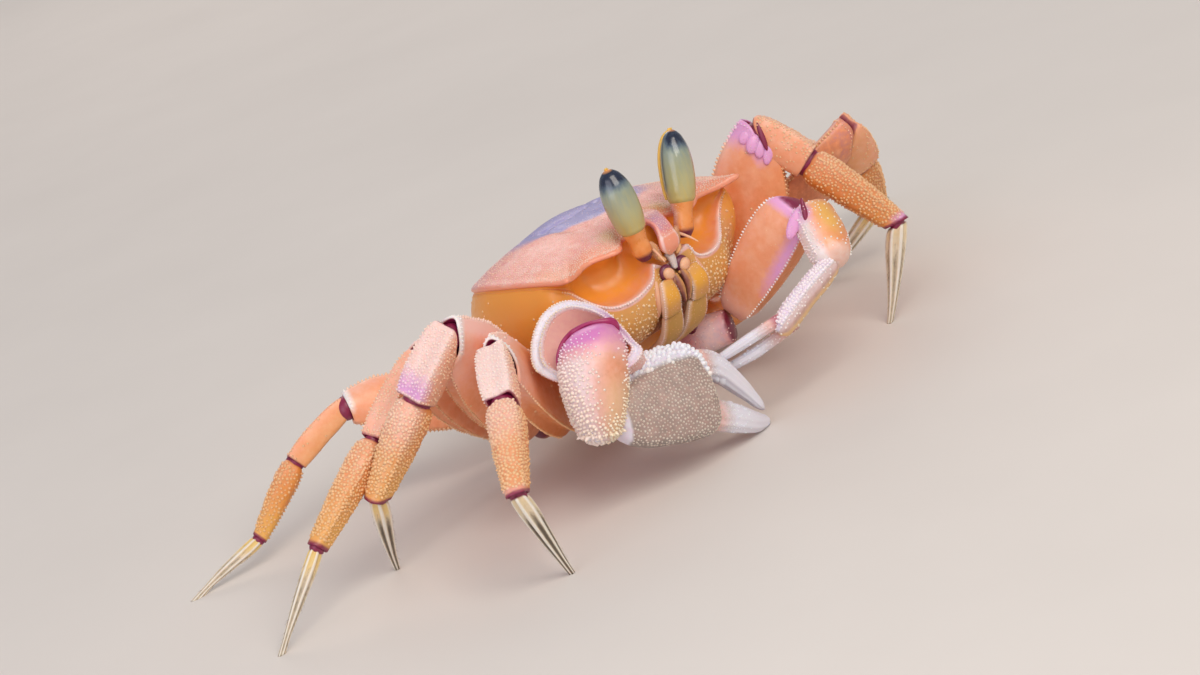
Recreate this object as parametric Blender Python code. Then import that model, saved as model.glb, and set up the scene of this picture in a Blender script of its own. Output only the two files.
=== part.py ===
"""Ghost crab, life size, standing on eight legs with its claws held low in front.

Metres, +Z up. The crab faces -Y and its left side is +X. The floor is z = 0.
Shapes are worked out in units of the carapace's width across its front teeth and scaled once.
"""

import math

import bmesh
import bpy
from mathutils import Vector

# Driving dimensions, in metres.
CARAPACE_WIDTH = 0.045
MARGIN_HEIGHT = 0.0353  # the carapace's side margin above the floor
JOINT_GAP = 0.0003  # clear space between neighbouring pieces
FOOT_RADIUS = 0.00055  # the small flat under each foot

# Everything below is in carapace widths, from a point at the middle of the margin's plane.
CW = CARAPACE_WIDTH
FLOOR = -MARGIN_HEIGHT / CW
GAP = JOINT_GAP / CW
SIDES = 10  # corners round a leg piece

# Outline of the side margin, one half from the front to the back.
MARGIN_OUTLINE = (
    (0.0, -0.46),
    (0.05, -0.45),
    (0.075, -0.395),
    (0.12, -0.36),
    (0.18, -0.39),
    (0.24, -0.40),
    (0.30, -0.365),
    (0.38, -0.38),
    (0.46, -0.405),
    (0.48, -0.33),
    (0.492, -0.20),
    (0.497, -0.06),
    (0.482, 0.08),
    (0.445, 0.20),
    (0.385, 0.30),
    (0.30, 0.38),
    (0.21, 0.425),
    (0.11, 0.44),
    (0.0, 0.44),
)
BODY_DEPTH = 0.46  # side wall below the margin
THORAX_DEPTH = 0.655
DOME_HEIGHT = 0.055
FRONT_SLOPE = 0.55  # how far the face runs back for each unit down

# Legs, front to back: where the leg leaves the body, and the four lengths.
LEG_BASES = ((0.495, -0.18, -0.56), (0.55, -0.01, -0.60), (0.52, 0.16, -0.60), (0.46, 0.31, -0.55))
LEG_LENGTHS = (
    (0.69, 0.235, 0.43, 0.40),
    (0.845, 0.26, 0.39, 0.39),
    (0.74, 0.355, 0.455, 0.40),
    (0.59, 0.30, 0.33, 0.32),
)
# How stout each piece of a leg is, from the front leg to the hind one.
LEG_GIRTH = {
    "merus": (0.97, 0.94, 0.95, 0.76),
    "carpus": (0.90, 0.92, 0.70, 0.60),
    "propodus": (0.92, 0.96, 0.80, 0.62),
    "dactylus": (0.84, 0.82, 0.70, 0.60),
}

# Each leg's bend, in degrees: the way it points, the lean of its plane, and the rise of the upper leg,
# the wrist and the hand. The last number is the way in which the toe turns to reach the floor.
LEG_POSES = {
    "right": (
        (-41, 8, 43, -25, -30, -1),
        (-3, -25, 56, -53, -54, -1),
        (-10, -16, 47, -33, -32, 1),
        (27, 19, 22, -25, -43, 1),
    ),
    "left": (
        (-52, -11, 69, -44, -51, -1),
        (-5, 33, 47, -58, -66, -1),
        (7, 27, 43, -28, -44, 1),
        (14, 16, 20, -24, -37, 1),
    ),
}

SHELL_PINK = (0.80, 0.36, 0.27)
SHELL_AMBER = (0.84, 0.46, 0.20)
LEG_ORANGE = (0.83, 0.40, 0.24)
CLAW_PALE = (0.80, 0.62, 0.58)
TOE_CREAM = (0.80, 0.68, 0.50)
MOUTH_OCHRE = (0.72, 0.44, 0.20)
EYE_GREEN = (0.22, 0.25, 0.17)
STALK_PEACH = (0.85, 0.47, 0.27)


def clear_scene():
    for thing in list(bpy.data.objects):
        bpy.data.objects.remove(thing, do_unlink=True)


def shell_material(name, colour, roughness):
    """A hard, slightly glossy crab shell of one colour."""
    material = bpy.data.materials.new(name)
    material.use_nodes = True
    surface = material.node_tree.nodes["Principled BSDF"]
    surface.inputs["Base Color"].default_value = (*colour, 1.0)
    surface.inputs["Roughness"].default_value = roughness
    surface.inputs["Metallic"].default_value = 0.0
    return material


def to_world(point):
    return Vector((point[0] * CW, point[1] * CW, (point[2] - FLOOR) * CW))


def loft(name, rings, material, parent):
    """A closed solid through rings of equally many points, with a flat lid at each end."""
    mesh = bpy.data.meshes.new(name)
    shape = bmesh.new()
    rows = [[shape.verts.new(to_world(point)) for point in ring] for ring in rings]
    count = len(rows[0])
    for lower, upper in zip(rows, rows[1:]):
        for i in range(count):
            j = (i + 1) % count
            shape.faces.new((lower[i], lower[j], upper[j], upper[i]))
    shape.faces.new(list(reversed(rows[0])))
    shape.faces.new(rows[-1])
    bmesh.ops.triangulate(shape, faces=shape.faces[:])
    bmesh.ops.recalc_face_normals(shape, faces=shape.faces[:])
    shape.to_mesh(mesh)
    shape.free()
    mesh.shade_smooth()
    mesh.set_sharp_from_angle(angle=math.radians(40))
    mesh.materials.append(material)
    thing = bpy.data.objects.new(name, mesh)
    thing.parent = parent
    bpy.context.scene.collection.objects.link(thing)
    return thing


def boolean(target, tool, operation):
    """Joins a helper to a solid or cuts it out, and hides the helper."""
    modifier = target.modifiers.new(tool.name, "BOOLEAN")
    modifier.object = tool
    modifier.operation = operation
    modifier.solver = "EXACT"
    tool.hide_render = True
    tool.display_type = "WIRE"


def mitre(before, after):
    """Normal of the plane that halves the bend between two directions."""
    return (before.normalized() + after.normalized()).normalized()


class Cut:
    """A plane that ends a limb piece: a point, a normal, and the side that the piece is on."""

    def __init__(self, point, normal, side):
        self.point = Vector(point) + Vector(normal) * GAP * 0.5 * side
        self.normal = Vector(normal)


def section(count, squareness):
    """Corners of a rounded section between -1 and 1, round from the upper edge."""
    corners = []
    for k in range(count):
        angle = 2 * math.pi * (k + 0.5) / count
        up = math.cos(angle)
        out = math.sin(angle)
        corners.append(
            (math.copysign(abs(up) ** squareness, up), math.copysign(abs(out) ** squareness, out))
        )
    return corners


def limb_rings(start, end, up, stations, first, last, count=SIDES, squareness=0.85):
    """Rings between two cutting planes. A station is (share of length, height, thickness, rise)."""
    start, end = Vector(start), Vector(end)
    axis = (end - start).normalized()
    up = (Vector(up) - axis * Vector(up).dot(axis)).normalized()
    out = axis.cross(up)
    rings = []
    for share, height, thickness, rise in stations:
        ring = []
        for high, wide in section(count, squareness):
            offset = start + up * (rise + high * height / 2) + out * (wide * thickness / 2)
            near = (first.point - offset).dot(first.normal) / axis.dot(first.normal)
            far = (last.point - offset).dot(last.normal) / axis.dot(last.normal)
            ring.append(offset + axis * (near + (far - near) * share))
        rings.append(ring)
    return rings


def upper_leg_stations(size):
    """The merus: a broad plate on edge, narrow at the body and full towards the knee."""
    return [
        (0.0, 0.13 * size, 0.085, 0.0),
        (0.10, 0.20 * size, 0.10, 0.0),
        (0.35, 0.27 * size, 0.115, 0.01),
        (0.65, 0.28 * size, 0.115, 0.012),
        (0.90, 0.225 * size, 0.11, 0.006),
        (1.0, 0.15 * size, 0.085, 0.0),
    ]


def wrist_stations(size):
    """The carpus: slim at the knee, deeper towards the hand."""
    return [
        (0.0, 0.115 * size, 0.085 * size, 0.0),
        (0.15, 0.15 * size, 0.115 * size, 0.004),
        (0.55, 0.175 * size, 0.135 * size, 0.01),
        (0.88, 0.165 * size, 0.125 * size, 0.006),
        (1.0, 0.12 * size, 0.095 * size, 0.0),
    ]


def hand_stations(size):
    """The propodus: a flattened bar, tapering to the toe."""
    return [
        (0.0, 0.115 * size, 0.085 * size, 0.0),
        (0.10, 0.145 * size, 0.105 * size, 0.0),
        (0.45, 0.14 * size, 0.10 * size, 0.0),
        (0.90, 0.105 * size, 0.08 * size, 0.0),
        (1.0, 0.085 * size, 0.065 * size, 0.0),
    ]


def toe_stations(size):
    """The dactylus: a long blunt spike that ends in the foot's small flat."""
    foot = 2 * FOOT_RADIUS / CW
    return [
        (0.0, 0.07 * size, 0.055 * size, 0.0),
        (0.12, 0.082 * size, 0.066 * size, 0.0),
        (0.55, 0.062 * size, 0.05 * size, 0.0),
        (1.0, foot, foot, 0.0),
    ]


def leg_joints(side, base, lengths, pose):
    """The five points of a leg, from the body to the floor, and its plane's up and normal."""
    yaw, lean, *bends, toe_turn = pose
    yaw, lean = math.radians(yaw), math.radians(lean)
    ahead = Vector((side * math.cos(yaw), math.sin(yaw), 0.0))
    normal = ahead.cross(Vector((0, 0, 1)))
    up = Vector((0, 0, math.cos(lean))) + normal * math.sin(lean)
    points = [Vector((side * base[0], base[1], base[2]))]
    for bend, length in zip(bends, lengths):
        bend = math.radians(bend)
        points.append(points[-1] + length * (ahead * math.cos(bend) + up * math.sin(bend)))
    sink = max(-1.0, (FLOOR - points[-1].z) / (lengths[3] * up.z))
    across = toe_turn * math.sqrt(1 - sink * sink)
    toe = points[-1] + lengths[3] * (ahead * across + up * sink)
    toe.z = FLOOR
    points.append(toe)
    return points, up


def coxa_way(base):
    """The direction in which a leg's first joint leaves the body."""
    return Vector((base[0] * 0.45, base[1] * 0.4, 0.0)).normalized()


def build_leg(side_name, number, materials, parent):
    """One walking leg as its four separate pieces."""
    side = -1 if side_name == "right" else 1
    pose = LEG_POSES[side_name][number]
    joints, up = leg_joints(side, LEG_BASES[number], LEG_LENGTHS[number], pose)
    ways = [b - a for a, b in zip(joints, joints[1:])]
    planes = [mitre(coxa_way(joints[0]), ways[0])]
    planes += [mitre(a, b) for a, b in zip(ways, ways[1:])]
    planes.append(Vector((0.0, 0.0, -1.0)))
    pieces = (
        ("merus", upper_leg_stations, materials["leg"]),
        ("carpus", wrist_stations, materials["leg"]),
        ("propodus", hand_stations, materials["leg"]),
        ("dactylus", toe_stations, materials["toe"]),
    )
    for i, (piece, shape, material) in enumerate(pieces):
        stations = shape(LEG_GIRTH[piece][number])
        first = Cut(joints[i], planes[i], 1)
        last = Cut(joints[i + 1], planes[i + 1], -1)
        if piece == "dactylus":
            last = Cut(joints[i + 1], planes[i + 1], 0)
        rings = limb_rings(joints[i], joints[i + 1], up, stations, first, last)
        loft(f"{side_name}_leg{number + 1}_{piece}", rings, material, parent)


# Claws: shoulder, elbow, wrist, end of the palm and the tip of the fixed finger.
CLAW_JOINTS = {
    "right": (
        (-0.28, -0.33, -0.55),
        (-0.60, -0.63, -0.125),
        (-0.72, -0.69, -0.45),
        (-0.30, -0.76, -0.525),
        (-0.08, -0.76, FLOOR),
    ),
    "left": (
        (0.28, -0.33, -0.55),
        (0.48, -0.69, -0.17),
        (0.38, -0.88, -0.33),
        (0.065, -0.84, -0.455),
        (-0.18, -0.562, -0.53),
    ),
}
CLAW_SIZE = {"right": (1.0, 1.0, 1.0), "left": (0.9, 0.74, 0.56)}  # upper arm, wrist, palm
# The way in which each hand's upper edge faces.
CLAW_UP = {"right": (-0.25, 0.45, 0.86), "left": (-0.20, -0.30, 0.93)}


def arm_stations(size):
    """The claw's merus: three-sided, broad at the elbow."""
    return [
        (0.0, 0.13 * size, 0.10 * size, 0.0),
        (0.15, 0.20 * size, 0.13 * size, 0.0),
        (0.50, 0.28 * size, 0.17 * size, 0.0),
        (0.85, 0.335 * size, 0.22 * size, 0.0),
        (1.0, 0.26 * size, 0.17 * size, 0.0),
    ]


def claw_wrist_stations(size):
    """The claw's carpus: a swollen dome."""
    return [
        (0.0, 0.18 * size, 0.16 * size, 0.0),
        (0.15, 0.27 * size, 0.22 * size, 0.02 * size),
        (0.45, 0.325 * size, 0.26 * size, 0.03 * size),
        (0.80, 0.29 * size, 0.24 * size, 0.02 * size),
        (1.0, 0.19 * size, 0.17 * size, 0.0),
    ]


def palm_rings(joints, up, size, planes):
    """Palm and fixed finger as one piece: a deep hand, then a finger along its lower edge."""
    wrist, knuckle, tip = joints
    palm_way = (knuckle - wrist).normalized()
    up = (up - palm_way * up.dot(palm_way)).normalized()
    thick = 0.175 * size
    palm = [
        (0.0, 0.15 * size, 0.6 * thick, 0.0),
        (0.12, 0.24 * size, 0.85 * thick, 0.0),
        (0.45, 0.335 * size, thick, 0.0),
        (0.80, 0.375 * size, thick, 0.0),
        (0.97, 0.36 * size, 0.9 * thick, 0.0),
        (1.0, 0.155 * size, 0.7 * thick, -0.10 * size),
    ]
    first = Cut(wrist, planes[0], 1)
    last = Cut(knuckle, palm_way, 0)
    rings = limb_rings(wrist, knuckle, up, palm, first, last, count=12)
    root = knuckle - up * 0.10 * size
    finger = [
        (0.22, 0.135 * size, 0.105 * size, -0.015 * size),
        (0.55, 0.105 * size, 0.08 * size, -0.02 * size),
        (0.82, 0.066 * size, 0.055 * size, -0.01 * size),
        (1.0, 0.03, 0.03, 0.0),
    ]
    start = Cut(root, mitre(palm_way, tip - root), 0)
    stop = Cut(tip, planes[1], 0)
    rings += limb_rings(root, tip, up, finger, start, stop, count=12)
    return rings, root, up


def moving_finger_rings(knuckle, tip, up, size, palm_way):
    """The claw's dactylus: a curved finger hinged at the palm's upper corner."""
    hinge = knuckle + up * 0.10 * size + palm_way * 2 * GAP
    reach = tip - hinge
    stations = [
        (0.0, 0.12 * size, 0.10 * size, 0.0),
        (0.12, 0.14 * size, 0.11 * size, 0.01 * size),
        (0.40, 0.11 * size, 0.085 * size, 0.035 * size),
        (0.75, 0.075 * size, 0.06 * size, 0.03 * size),
        (1.0, 0.03, 0.03, 0.0),
    ]
    first = Cut(hinge, palm_way, 0)
    last = Cut(tip, reach.normalized(), 0)
    return limb_rings(hinge, tip, up, stations, first, last)


def build_claw(side_name, materials, parent):
    """One claw as its four separate pieces."""
    joints = [Vector(point) for point in CLAW_JOINTS[side_name]]
    arm_size, wrist_size, palm_size = CLAW_SIZE[side_name]
    ways = [b - a for a, b in zip(joints, joints[1:])]
    side = -1 if side_name == "right" else 1
    planes = [mitre(Vector((side * 0.6, -0.8, 0.0)), ways[0])]
    planes += [mitre(a, b) for a, b in zip(ways[:2], ways[1:3])]
    up = Vector(CLAW_UP[side_name])

    arm_up = ways[0].cross(Vector((side * 0.55, -0.45, -0.7))).cross(ways[0])
    rings = limb_rings(
        joints[0],
        joints[1],
        -arm_up,
        arm_stations(arm_size),
        Cut(joints[0], planes[0], 1),
        Cut(joints[1], planes[1], -1),
        count=12,
    )
    loft(f"{side_name}_claw_merus", rings, materials["leg"], parent)

    outward = ways[1].cross(ways[2]).cross(ways[1])
    rings = limb_rings(
        joints[1],
        joints[2],
        -outward,
        claw_wrist_stations(wrist_size),
        Cut(joints[1], planes[1], 1),
        Cut(joints[2], planes[2], -1),
        count=12,
    )
    loft(f"{side_name}_claw_carpus", rings, materials["shell"], parent)

    touching = side_name == "right"
    tip_plane = Vector((0.0, 0.0, -1.0)) if touching else ways[3].normalized()
    rings, root, up = palm_rings(joints[2:], up, palm_size, (planes[2], tip_plane))
    loft(f"{side_name}_claw_palm", rings, materials["claw"], parent)

    tip = joints[4] + up * 0.075 * palm_size + ways[3].normalized() * 0.01
    rings = moving_finger_rings(joints[3], tip, up, palm_size, ways[2].normalized())
    loft(f"{side_name}_claw_dactylus", rings, materials["claw"], parent)


def whole_outline():
    """The margin's outline all the way round, as seen from above."""
    half = list(MARGIN_OUTLINE)
    return half + [(-x, y) for x, y in reversed(half[1:-1])]


def body_ring(depth, narrow, lift=0.0):
    """The body's outline at a depth below the margin, with the face running back as it goes down."""
    ring = []
    for x, y in whole_outline():
        front = max(0.0, -y / 0.46)
        back = max(0.0, y / 0.45)
        run = FRONT_SLOPE * depth * front**1.5
        ring.append((x * narrow, y * (1 - 0.10 * back * depth / BODY_DEPTH) + run, lift - depth))
    return ring


def dome_ring(share):
    """A ring of the back: share is 1 at the margin and 0 at the top of the dome."""
    ring = []
    for x, y in whole_outline():
        front = max(0.0, -y / 0.46)
        back = max(0.0, y / 0.45)
        edge_drop = -0.045 * front**6 - 0.13 * back**2
        height = DOME_HEIGHT * (1 - share**2.6) + edge_drop * share**2
        ring.append((x * share, y * share + 0.01 * (1 - share), height))
    return ring


def build_carapace(materials, parent):
    """The back and its side walls, with the beak between the eyes and a deep socket on each side of it."""
    rings = [dome_ring(share) for share in (0.18, 0.45, 0.68, 0.84, 0.94, 1.0)]
    walls = ((0.03, 0.985), (0.14, 0.965), (0.28, 0.955), (0.39, 0.93), (BODY_DEPTH, 0.88))
    margin = rings[-1]
    for depth, narrow in walls:
        ring = body_ring(depth, narrow)
        keep = 1 - depth / BODY_DEPTH
        rings.append([(x, y, z + (m[2]) * keep) for (x, y, z), m in zip(ring, margin)])
    carapace = loft("carapace", rings[::-1], materials["shell"], parent)
    boolean(carapace, beak(parent), "UNION")
    for side in (-1, 1):
        boolean(carapace, socket(side, parent), "DIFFERENCE")


def beak(parent):
    """The narrow front lobe, bent down between the eyestalks."""
    stations = [
        (0.0, 0.05, 0.13, 0.0),
        (0.5, 0.045, 0.12, 0.0),
        (0.85, 0.04, 0.09, 0.0),
        (1.0, 0.03, 0.05, 0.0),
    ]
    start, end = Vector((0, -0.40, 0.0)), Vector((0, -0.49, -0.12))
    way = (end - start).normalized()
    rings = limb_rings(start, end, (0, -1, 0.6), stations, Cut(start, way, 0), Cut(end, way, 0))
    return loft("beak_helper", rings, parent["plain"], parent)


def ellipsoid_rings(centre, radii, tilt=0.0, count=16, rows=7):
    """Rings of an egg shape along X, turned about Z by the tilt in radians."""
    rings = []
    for i in range(rows):
        along = math.cos(math.pi * (i + 0.5) / rows)
        spread = math.sqrt(1 - along * along)
        ring = []
        for k in range(count):
            angle = 2 * math.pi * k / count
            x = -along * radii[0]
            y = spread * math.cos(angle) * radii[1]
            z = spread * math.sin(angle) * radii[2]
            ring.append(
                (
                    centre[0] + x * math.cos(tilt) - y * math.sin(tilt),
                    centre[1] + x * math.sin(tilt) + y * math.cos(tilt),
                    centre[2] + z,
                )
            )
        rings.append(ring)
    return rings


def socket(side, parent):
    """The hollow that the folded eye would lie in."""
    rings = ellipsoid_rings((side * 0.255, -0.43, -0.105), (0.20, 0.12, 0.088), tilt=side * 0.08)
    return loft(f"socket_helper_{side}", rings, parent["plain"], parent)


def build_thorax(materials, parent):
    """The underside, with the short first joint of every limb grown on to it."""
    top = BODY_DEPTH + GAP
    rings = []
    for depth, narrow in ((top, 0.84), (0.56, 0.80), (0.62, 0.66), (THORAX_DEPTH, 0.50)):
        rings.append(
            [(x * narrow, -0.02 + (y + 0.02) * (narrow + 0.06), z) for x, y, z in body_ring(depth, 1.0)]
        )
    thorax = loft("thorax", rings[::-1], materials["under"], parent)
    for side_name, side in (("right", -1), ("left", 1)):
        for number, base in enumerate(LEG_BASES):
            boolean(thorax, coxa(side_name, side, number, base, parent), "UNION")
        boolean(thorax, shoulder(side_name, side, parent), "UNION")


def coxa(side_name, side, number, base, parent):
    """The short joint between the body and a leg."""
    end = Vector((side * base[0], base[1], base[2]))
    way = coxa_way(end)
    start = end - way * 0.26
    joints, _ = leg_joints(side, base, LEG_LENGTHS[number], LEG_POSES[side_name][number])
    plane = mitre(way, joints[1] - joints[0])
    size = 0.5 + 0.5 * LEG_GIRTH["merus"][number]
    stations = [
        (0.0, 0.10 * size, 0.13, -0.01),
        (0.6, 0.11 * size, 0.135, -0.01),
        (1.0, 0.10 * size, 0.10, 0.0),
    ]
    rings = limb_rings(start, end, (0, 0, 1), stations, Cut(start, way, 0), Cut(end, plane, -1), 8)
    return loft(f"coxa_helper_{side_name}_{number}", rings, parent["plain"], parent)


def shoulder(side_name, side, parent):
    """The first joint of a claw."""
    joints = [Vector(point) for point in CLAW_JOINTS[side_name]]
    way = Vector((side * 0.6, -0.8, 0.0))
    end = joints[0]
    start = end - way * 0.27
    plane = mitre(way, joints[1] - joints[0])
    stations = [(0.0, 0.09, 0.13, -0.02), (0.6, 0.10, 0.14, -0.015), (1.0, 0.10, 0.11, 0.0)]
    rings = limb_rings(start, end, (0, 0, 1), stations, Cut(start, way, 0), Cut(end, plane, -1), 8)
    return loft(f"shoulder_helper_{side_name}", rings, parent["plain"], parent)


def build_abdomen(materials, parent):
    """The narrow tail plate folded forward under the body."""
    level = -THORAX_DEPTH - GAP
    stations = [
        (0.0, 0.030, 0.06, 0.0),
        (0.25, 0.035, 0.12, 0.0),
        (0.75, 0.040, 0.19, 0.0),
        (1.0, 0.030, 0.22, 0.0),
    ]
    start = Vector((0, -0.13, level - 0.02))
    end = Vector((0, 0.22, level - 0.02))
    way = (end - start).normalized()
    rings = limb_rings(start, end, (0, 0, 1), stations, Cut(start, way, 0), Cut(end, way, 0))
    loft("abdomen", rings, materials["under"], parent)


def build_mouth(materials, parent):
    """The two doors of the mouth, standing on the sloping face."""
    for side_name, side in (("right", -1), ("left", 1)):
        top = Vector((side * 0.062, -0.445, -0.185))
        bottom = Vector((side * 0.085, -0.245, -0.545))
        way = (bottom - top).normalized()
        stations = [
            (0.0, 0.035, 0.07, 0.0),
            (0.12, 0.05, 0.105, 0.0),
            (0.60, 0.05, 0.13, 0.0),
            (1.0, 0.04, 0.11, 0.0),
        ]
        rings = limb_rings(top, bottom, (0, -1, -0.5), stations, Cut(top, way, 0), Cut(bottom, way, 0))
        loft(f"{side_name}_maxilliped", rings, materials["mouth"], parent)


EYE_BASES = {"right": (-0.108, -0.435, -0.05), "left": (0.112, -0.45, -0.05)}
EYE_TIPS = {"right": (-0.135, -0.425, 0.30), "left": (0.22, -0.43, 0.31)}
STALK_SHARE = 0.27


def build_eye(side_name, materials, parent):
    """A short stalk and the long egg-shaped eye that stands on it."""
    base, tip = Vector(EYE_BASES[side_name]), Vector(EYE_TIPS[side_name])
    way = (tip - base).normalized()
    neck = base.lerp(tip, STALK_SHARE)
    stalk = [
        (0.0, 0.055, 0.055, 0.0),
        (0.4, 0.068, 0.068, 0.0),
        (1.0, 0.078, 0.078, 0.0),
    ]
    rings = limb_rings(base, neck, (0, -1, 0), stalk, Cut(base, way, 0), Cut(neck, way, -1), 12, 1.0)
    loft(f"{side_name}_eyestalk", rings, materials["stalk"], parent)
    eye = []
    rows = 8
    for i in range(rows):
        along = i / (rows - 1)
        girth = 0.126 * math.sqrt(max(0.0, 1 - (1.86 * along - 0.93) ** 2)) * (1.05 - 0.12 * along)
        eye.append((along, girth, 0.92 * girth, 0.0))
    rings = limb_rings(neck, tip, (0, -1, 0), eye, Cut(neck, way, 1), Cut(tip, way, 0), 14, 1.0)
    loft(f"{side_name}_cornea", rings, materials["eye"], parent)


def build_antenna(side_name, materials, parent):
    """The short feeler that lies beside the beak."""
    side = -1 if side_name == "right" else 1
    start = Vector((side * 0.055, -0.515, -0.155))
    end = Vector((side * 0.10, -0.565, -0.13))
    way = (end - start).normalized()
    stations = [(0.0, 0.036, 0.036, 0.0), (0.5, 0.026, 0.026, 0.0), (1.0, 0.016, 0.016, 0.0)]
    rings = limb_rings(start, end, (0, 0, 1), stations, Cut(start, way, 0), Cut(end, way, 0), 8, 1.0)
    loft(f"{side_name}_antenna", rings, materials["mouth"], parent)


def centre_over_floor(crab):
    """Moves the whole animal so that the middle of its box is over the origin. The feet stay on the floor."""
    shown = [thing for thing in crab.children if not thing.hide_render]
    corners = [vertex.co for thing in shown for vertex in thing.data.vertices]
    for axis in (0, 1):
        values = [corner[axis] for corner in corners]
        crab.location[axis] = -(min(values) + max(values)) / 2


def main():
    clear_scene()
    crab = bpy.data.objects.new("crab", None)
    bpy.context.scene.collection.objects.link(crab)
    materials = {
        "shell": shell_material("granular pink shell", SHELL_PINK, 0.45),
        "under": shell_material("smooth amber shell", SHELL_AMBER, 0.35),
        "leg": shell_material("orange leg shell", LEG_ORANGE, 0.4),
        "claw": shell_material("pale knobbly claw", CLAW_PALE, 0.5),
        "toe": shell_material("cream toe", TOE_CREAM, 0.5),
        "mouth": shell_material("ochre mouth plates", MOUTH_OCHRE, 0.45),
        "eye": shell_material("green eye", EYE_GREEN, 0.12),
        "stalk": shell_material("peach eyestalk", STALK_PEACH, 0.35),
    }
    crab["plain"] = materials["under"]
    build_carapace(materials, crab)
    build_thorax(materials, crab)
    build_abdomen(materials, crab)
    build_mouth(materials, crab)
    for side_name in ("right", "left"):
        build_eye(side_name, materials, crab)
        build_antenna(side_name, materials, crab)
        build_claw(side_name, materials, crab)
        for number in range(len(LEG_BASES)):
            build_leg(side_name, number, materials, crab)
    centre_over_floor(crab)


main()
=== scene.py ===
"""A ghost crab standing on its toes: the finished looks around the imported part.

Shapes are worked out in carapace widths from the middle of the carapace's margin, as measured from
the frame, and turned to metres once. The crab faces -Y and its left side is +X.
"""

import math

import bmesh
import bpy
import numpy as np
from mathutils import Matrix, Vector


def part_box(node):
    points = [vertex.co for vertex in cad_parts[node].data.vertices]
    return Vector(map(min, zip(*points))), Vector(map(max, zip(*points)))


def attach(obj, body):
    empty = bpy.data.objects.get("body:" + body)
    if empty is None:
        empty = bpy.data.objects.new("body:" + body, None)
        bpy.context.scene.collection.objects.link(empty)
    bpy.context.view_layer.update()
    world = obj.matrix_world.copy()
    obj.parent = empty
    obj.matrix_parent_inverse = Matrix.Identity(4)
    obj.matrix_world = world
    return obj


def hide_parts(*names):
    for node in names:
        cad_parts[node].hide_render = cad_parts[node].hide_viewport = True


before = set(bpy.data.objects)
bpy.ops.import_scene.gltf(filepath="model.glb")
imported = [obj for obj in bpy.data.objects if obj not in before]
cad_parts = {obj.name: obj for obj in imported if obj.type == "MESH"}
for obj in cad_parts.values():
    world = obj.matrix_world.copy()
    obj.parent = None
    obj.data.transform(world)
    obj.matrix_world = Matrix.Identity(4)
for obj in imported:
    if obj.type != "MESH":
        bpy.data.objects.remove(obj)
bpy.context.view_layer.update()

# ---------------------------------------------------------------- measures from the frame

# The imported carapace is 0.994 widths across. Its rear edge lies 0.44 widths behind the middle of the
# margin, and its top 0.0544 widths above it.
shell_low, shell_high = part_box("carapace")
WIDTH = (shell_high.x - shell_low.x) / 0.994
MIDDLE = np.array(
    ((shell_low.x + shell_high.x) / 2, shell_high.y - 0.44 * WIDTH, shell_high.z - 0.0544 * WIDTH)
)
FLOOR = -MIDDLE[2] / WIDTH
MILLIMETRE = 0.001 / WIDTH
SIDES = {"right": -1, "left": 1}
TINY = 1e-9  # keeps a length of nothing from dividing by zero


def to_world(points):
    return MIDDLE + np.asarray(points, float) * WIDTH


def in_widths(points):
    return (np.array(points, float).reshape(-1, 3) - MIDDLE) / WIDTH


def node_points(name):
    """A CAD node's corners, in carapace widths."""
    return in_widths([vertex.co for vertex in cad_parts[name].data.vertices])


def closest(points, others, count):
    """The middle of the few points that lie closest to the others."""
    gaps = np.linalg.norm(points[:, None] - others[None], axis=2).min(axis=1)
    return points[np.argsort(gaps)[:count]].mean(axis=0)


def meeting(first, second):
    """The middle of the joint between two neighbouring nodes."""
    a, b = node_points(first), node_points(second)
    return (closest(a, b, 10) + closest(b, a, 10)) / 2


def unit(vector):
    vector = np.asarray(vector, float)
    return vector / max(np.linalg.norm(vector), TINY)


def units(rows, guard=0.0):
    """Every row as a direction. The guard is for rows that may be nearly nothing."""
    return rows / (np.linalg.norm(rows, axis=1)[:, None] + guard)


def square_to(vector, axis):
    """The direction square to the axis that comes closest to the vector."""
    vector = np.asarray(vector, float)
    return unit(vector - axis * np.dot(vector, axis))


# ---------------------------------------------------------------- curves and surfaces


def flow(stations, at):
    """Smooth values between stations. The first number of each is its place along the way."""
    table = np.array(stations, float)
    place = table[:, 0]
    slopes = np.gradient(table[:, 1:], place, axis=0)
    at = np.clip(np.atleast_1d(at), place[0], place[-1])
    k = np.clip(np.searchsorted(place, at, side="right") - 1, 0, len(place) - 2)
    span = (place[k + 1] - place[k])[:, None]
    t = (at - place[k])[:, None] / span
    before, after = table[k, 1:], table[k + 1, 1:]
    return (
        (2 * t**3 - 3 * t**2 + 1) * before
        + (t**3 - 2 * t**2 + t) * span * slopes[k]
        + (3 * t**2 - 2 * t**3) * after
        + (t**3 - t**2) * span * slopes[k + 1]
    )


def through(points, at):
    """A smooth line through points, where at counts from 0 at the first to 1 at the last."""
    places = np.linspace(0, 1, len(points))
    return flow(np.column_stack((places, np.array(points, float))), at)


def round_section(corners, count):
    """A closed smooth section through corners, with the same number of steps between each two."""
    points = np.array(corners, float)
    number = len(points)
    steps = count // number
    rows = []
    for i in range(number):
        p = [points[(i + k) % number] for k in (-1, 0, 1, 2)]
        for t in np.arange(steps) / steps:
            rows.append(
                0.5
                * (
                    2 * p[1]
                    + (p[2] - p[0]) * t
                    + (2 * p[0] - 5 * p[1] + 4 * p[2] - p[3]) * t**2
                    + (3 * p[1] - p[0] - 3 * p[2] + p[3]) * t**3
                )
            )
    return np.array(rows)


def hill(x, centre, spread):
    """A smooth hump of height one."""
    return np.exp(-(((np.asarray(x, float) - centre) / spread) ** 2))


def rise(x, low, high):
    """Goes smoothly from 0 at low to 1 at high."""
    t = np.clip((np.asarray(x, float) - low) / (high - low), 0, 1)
    return t * t * (3 - 2 * t)


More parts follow.
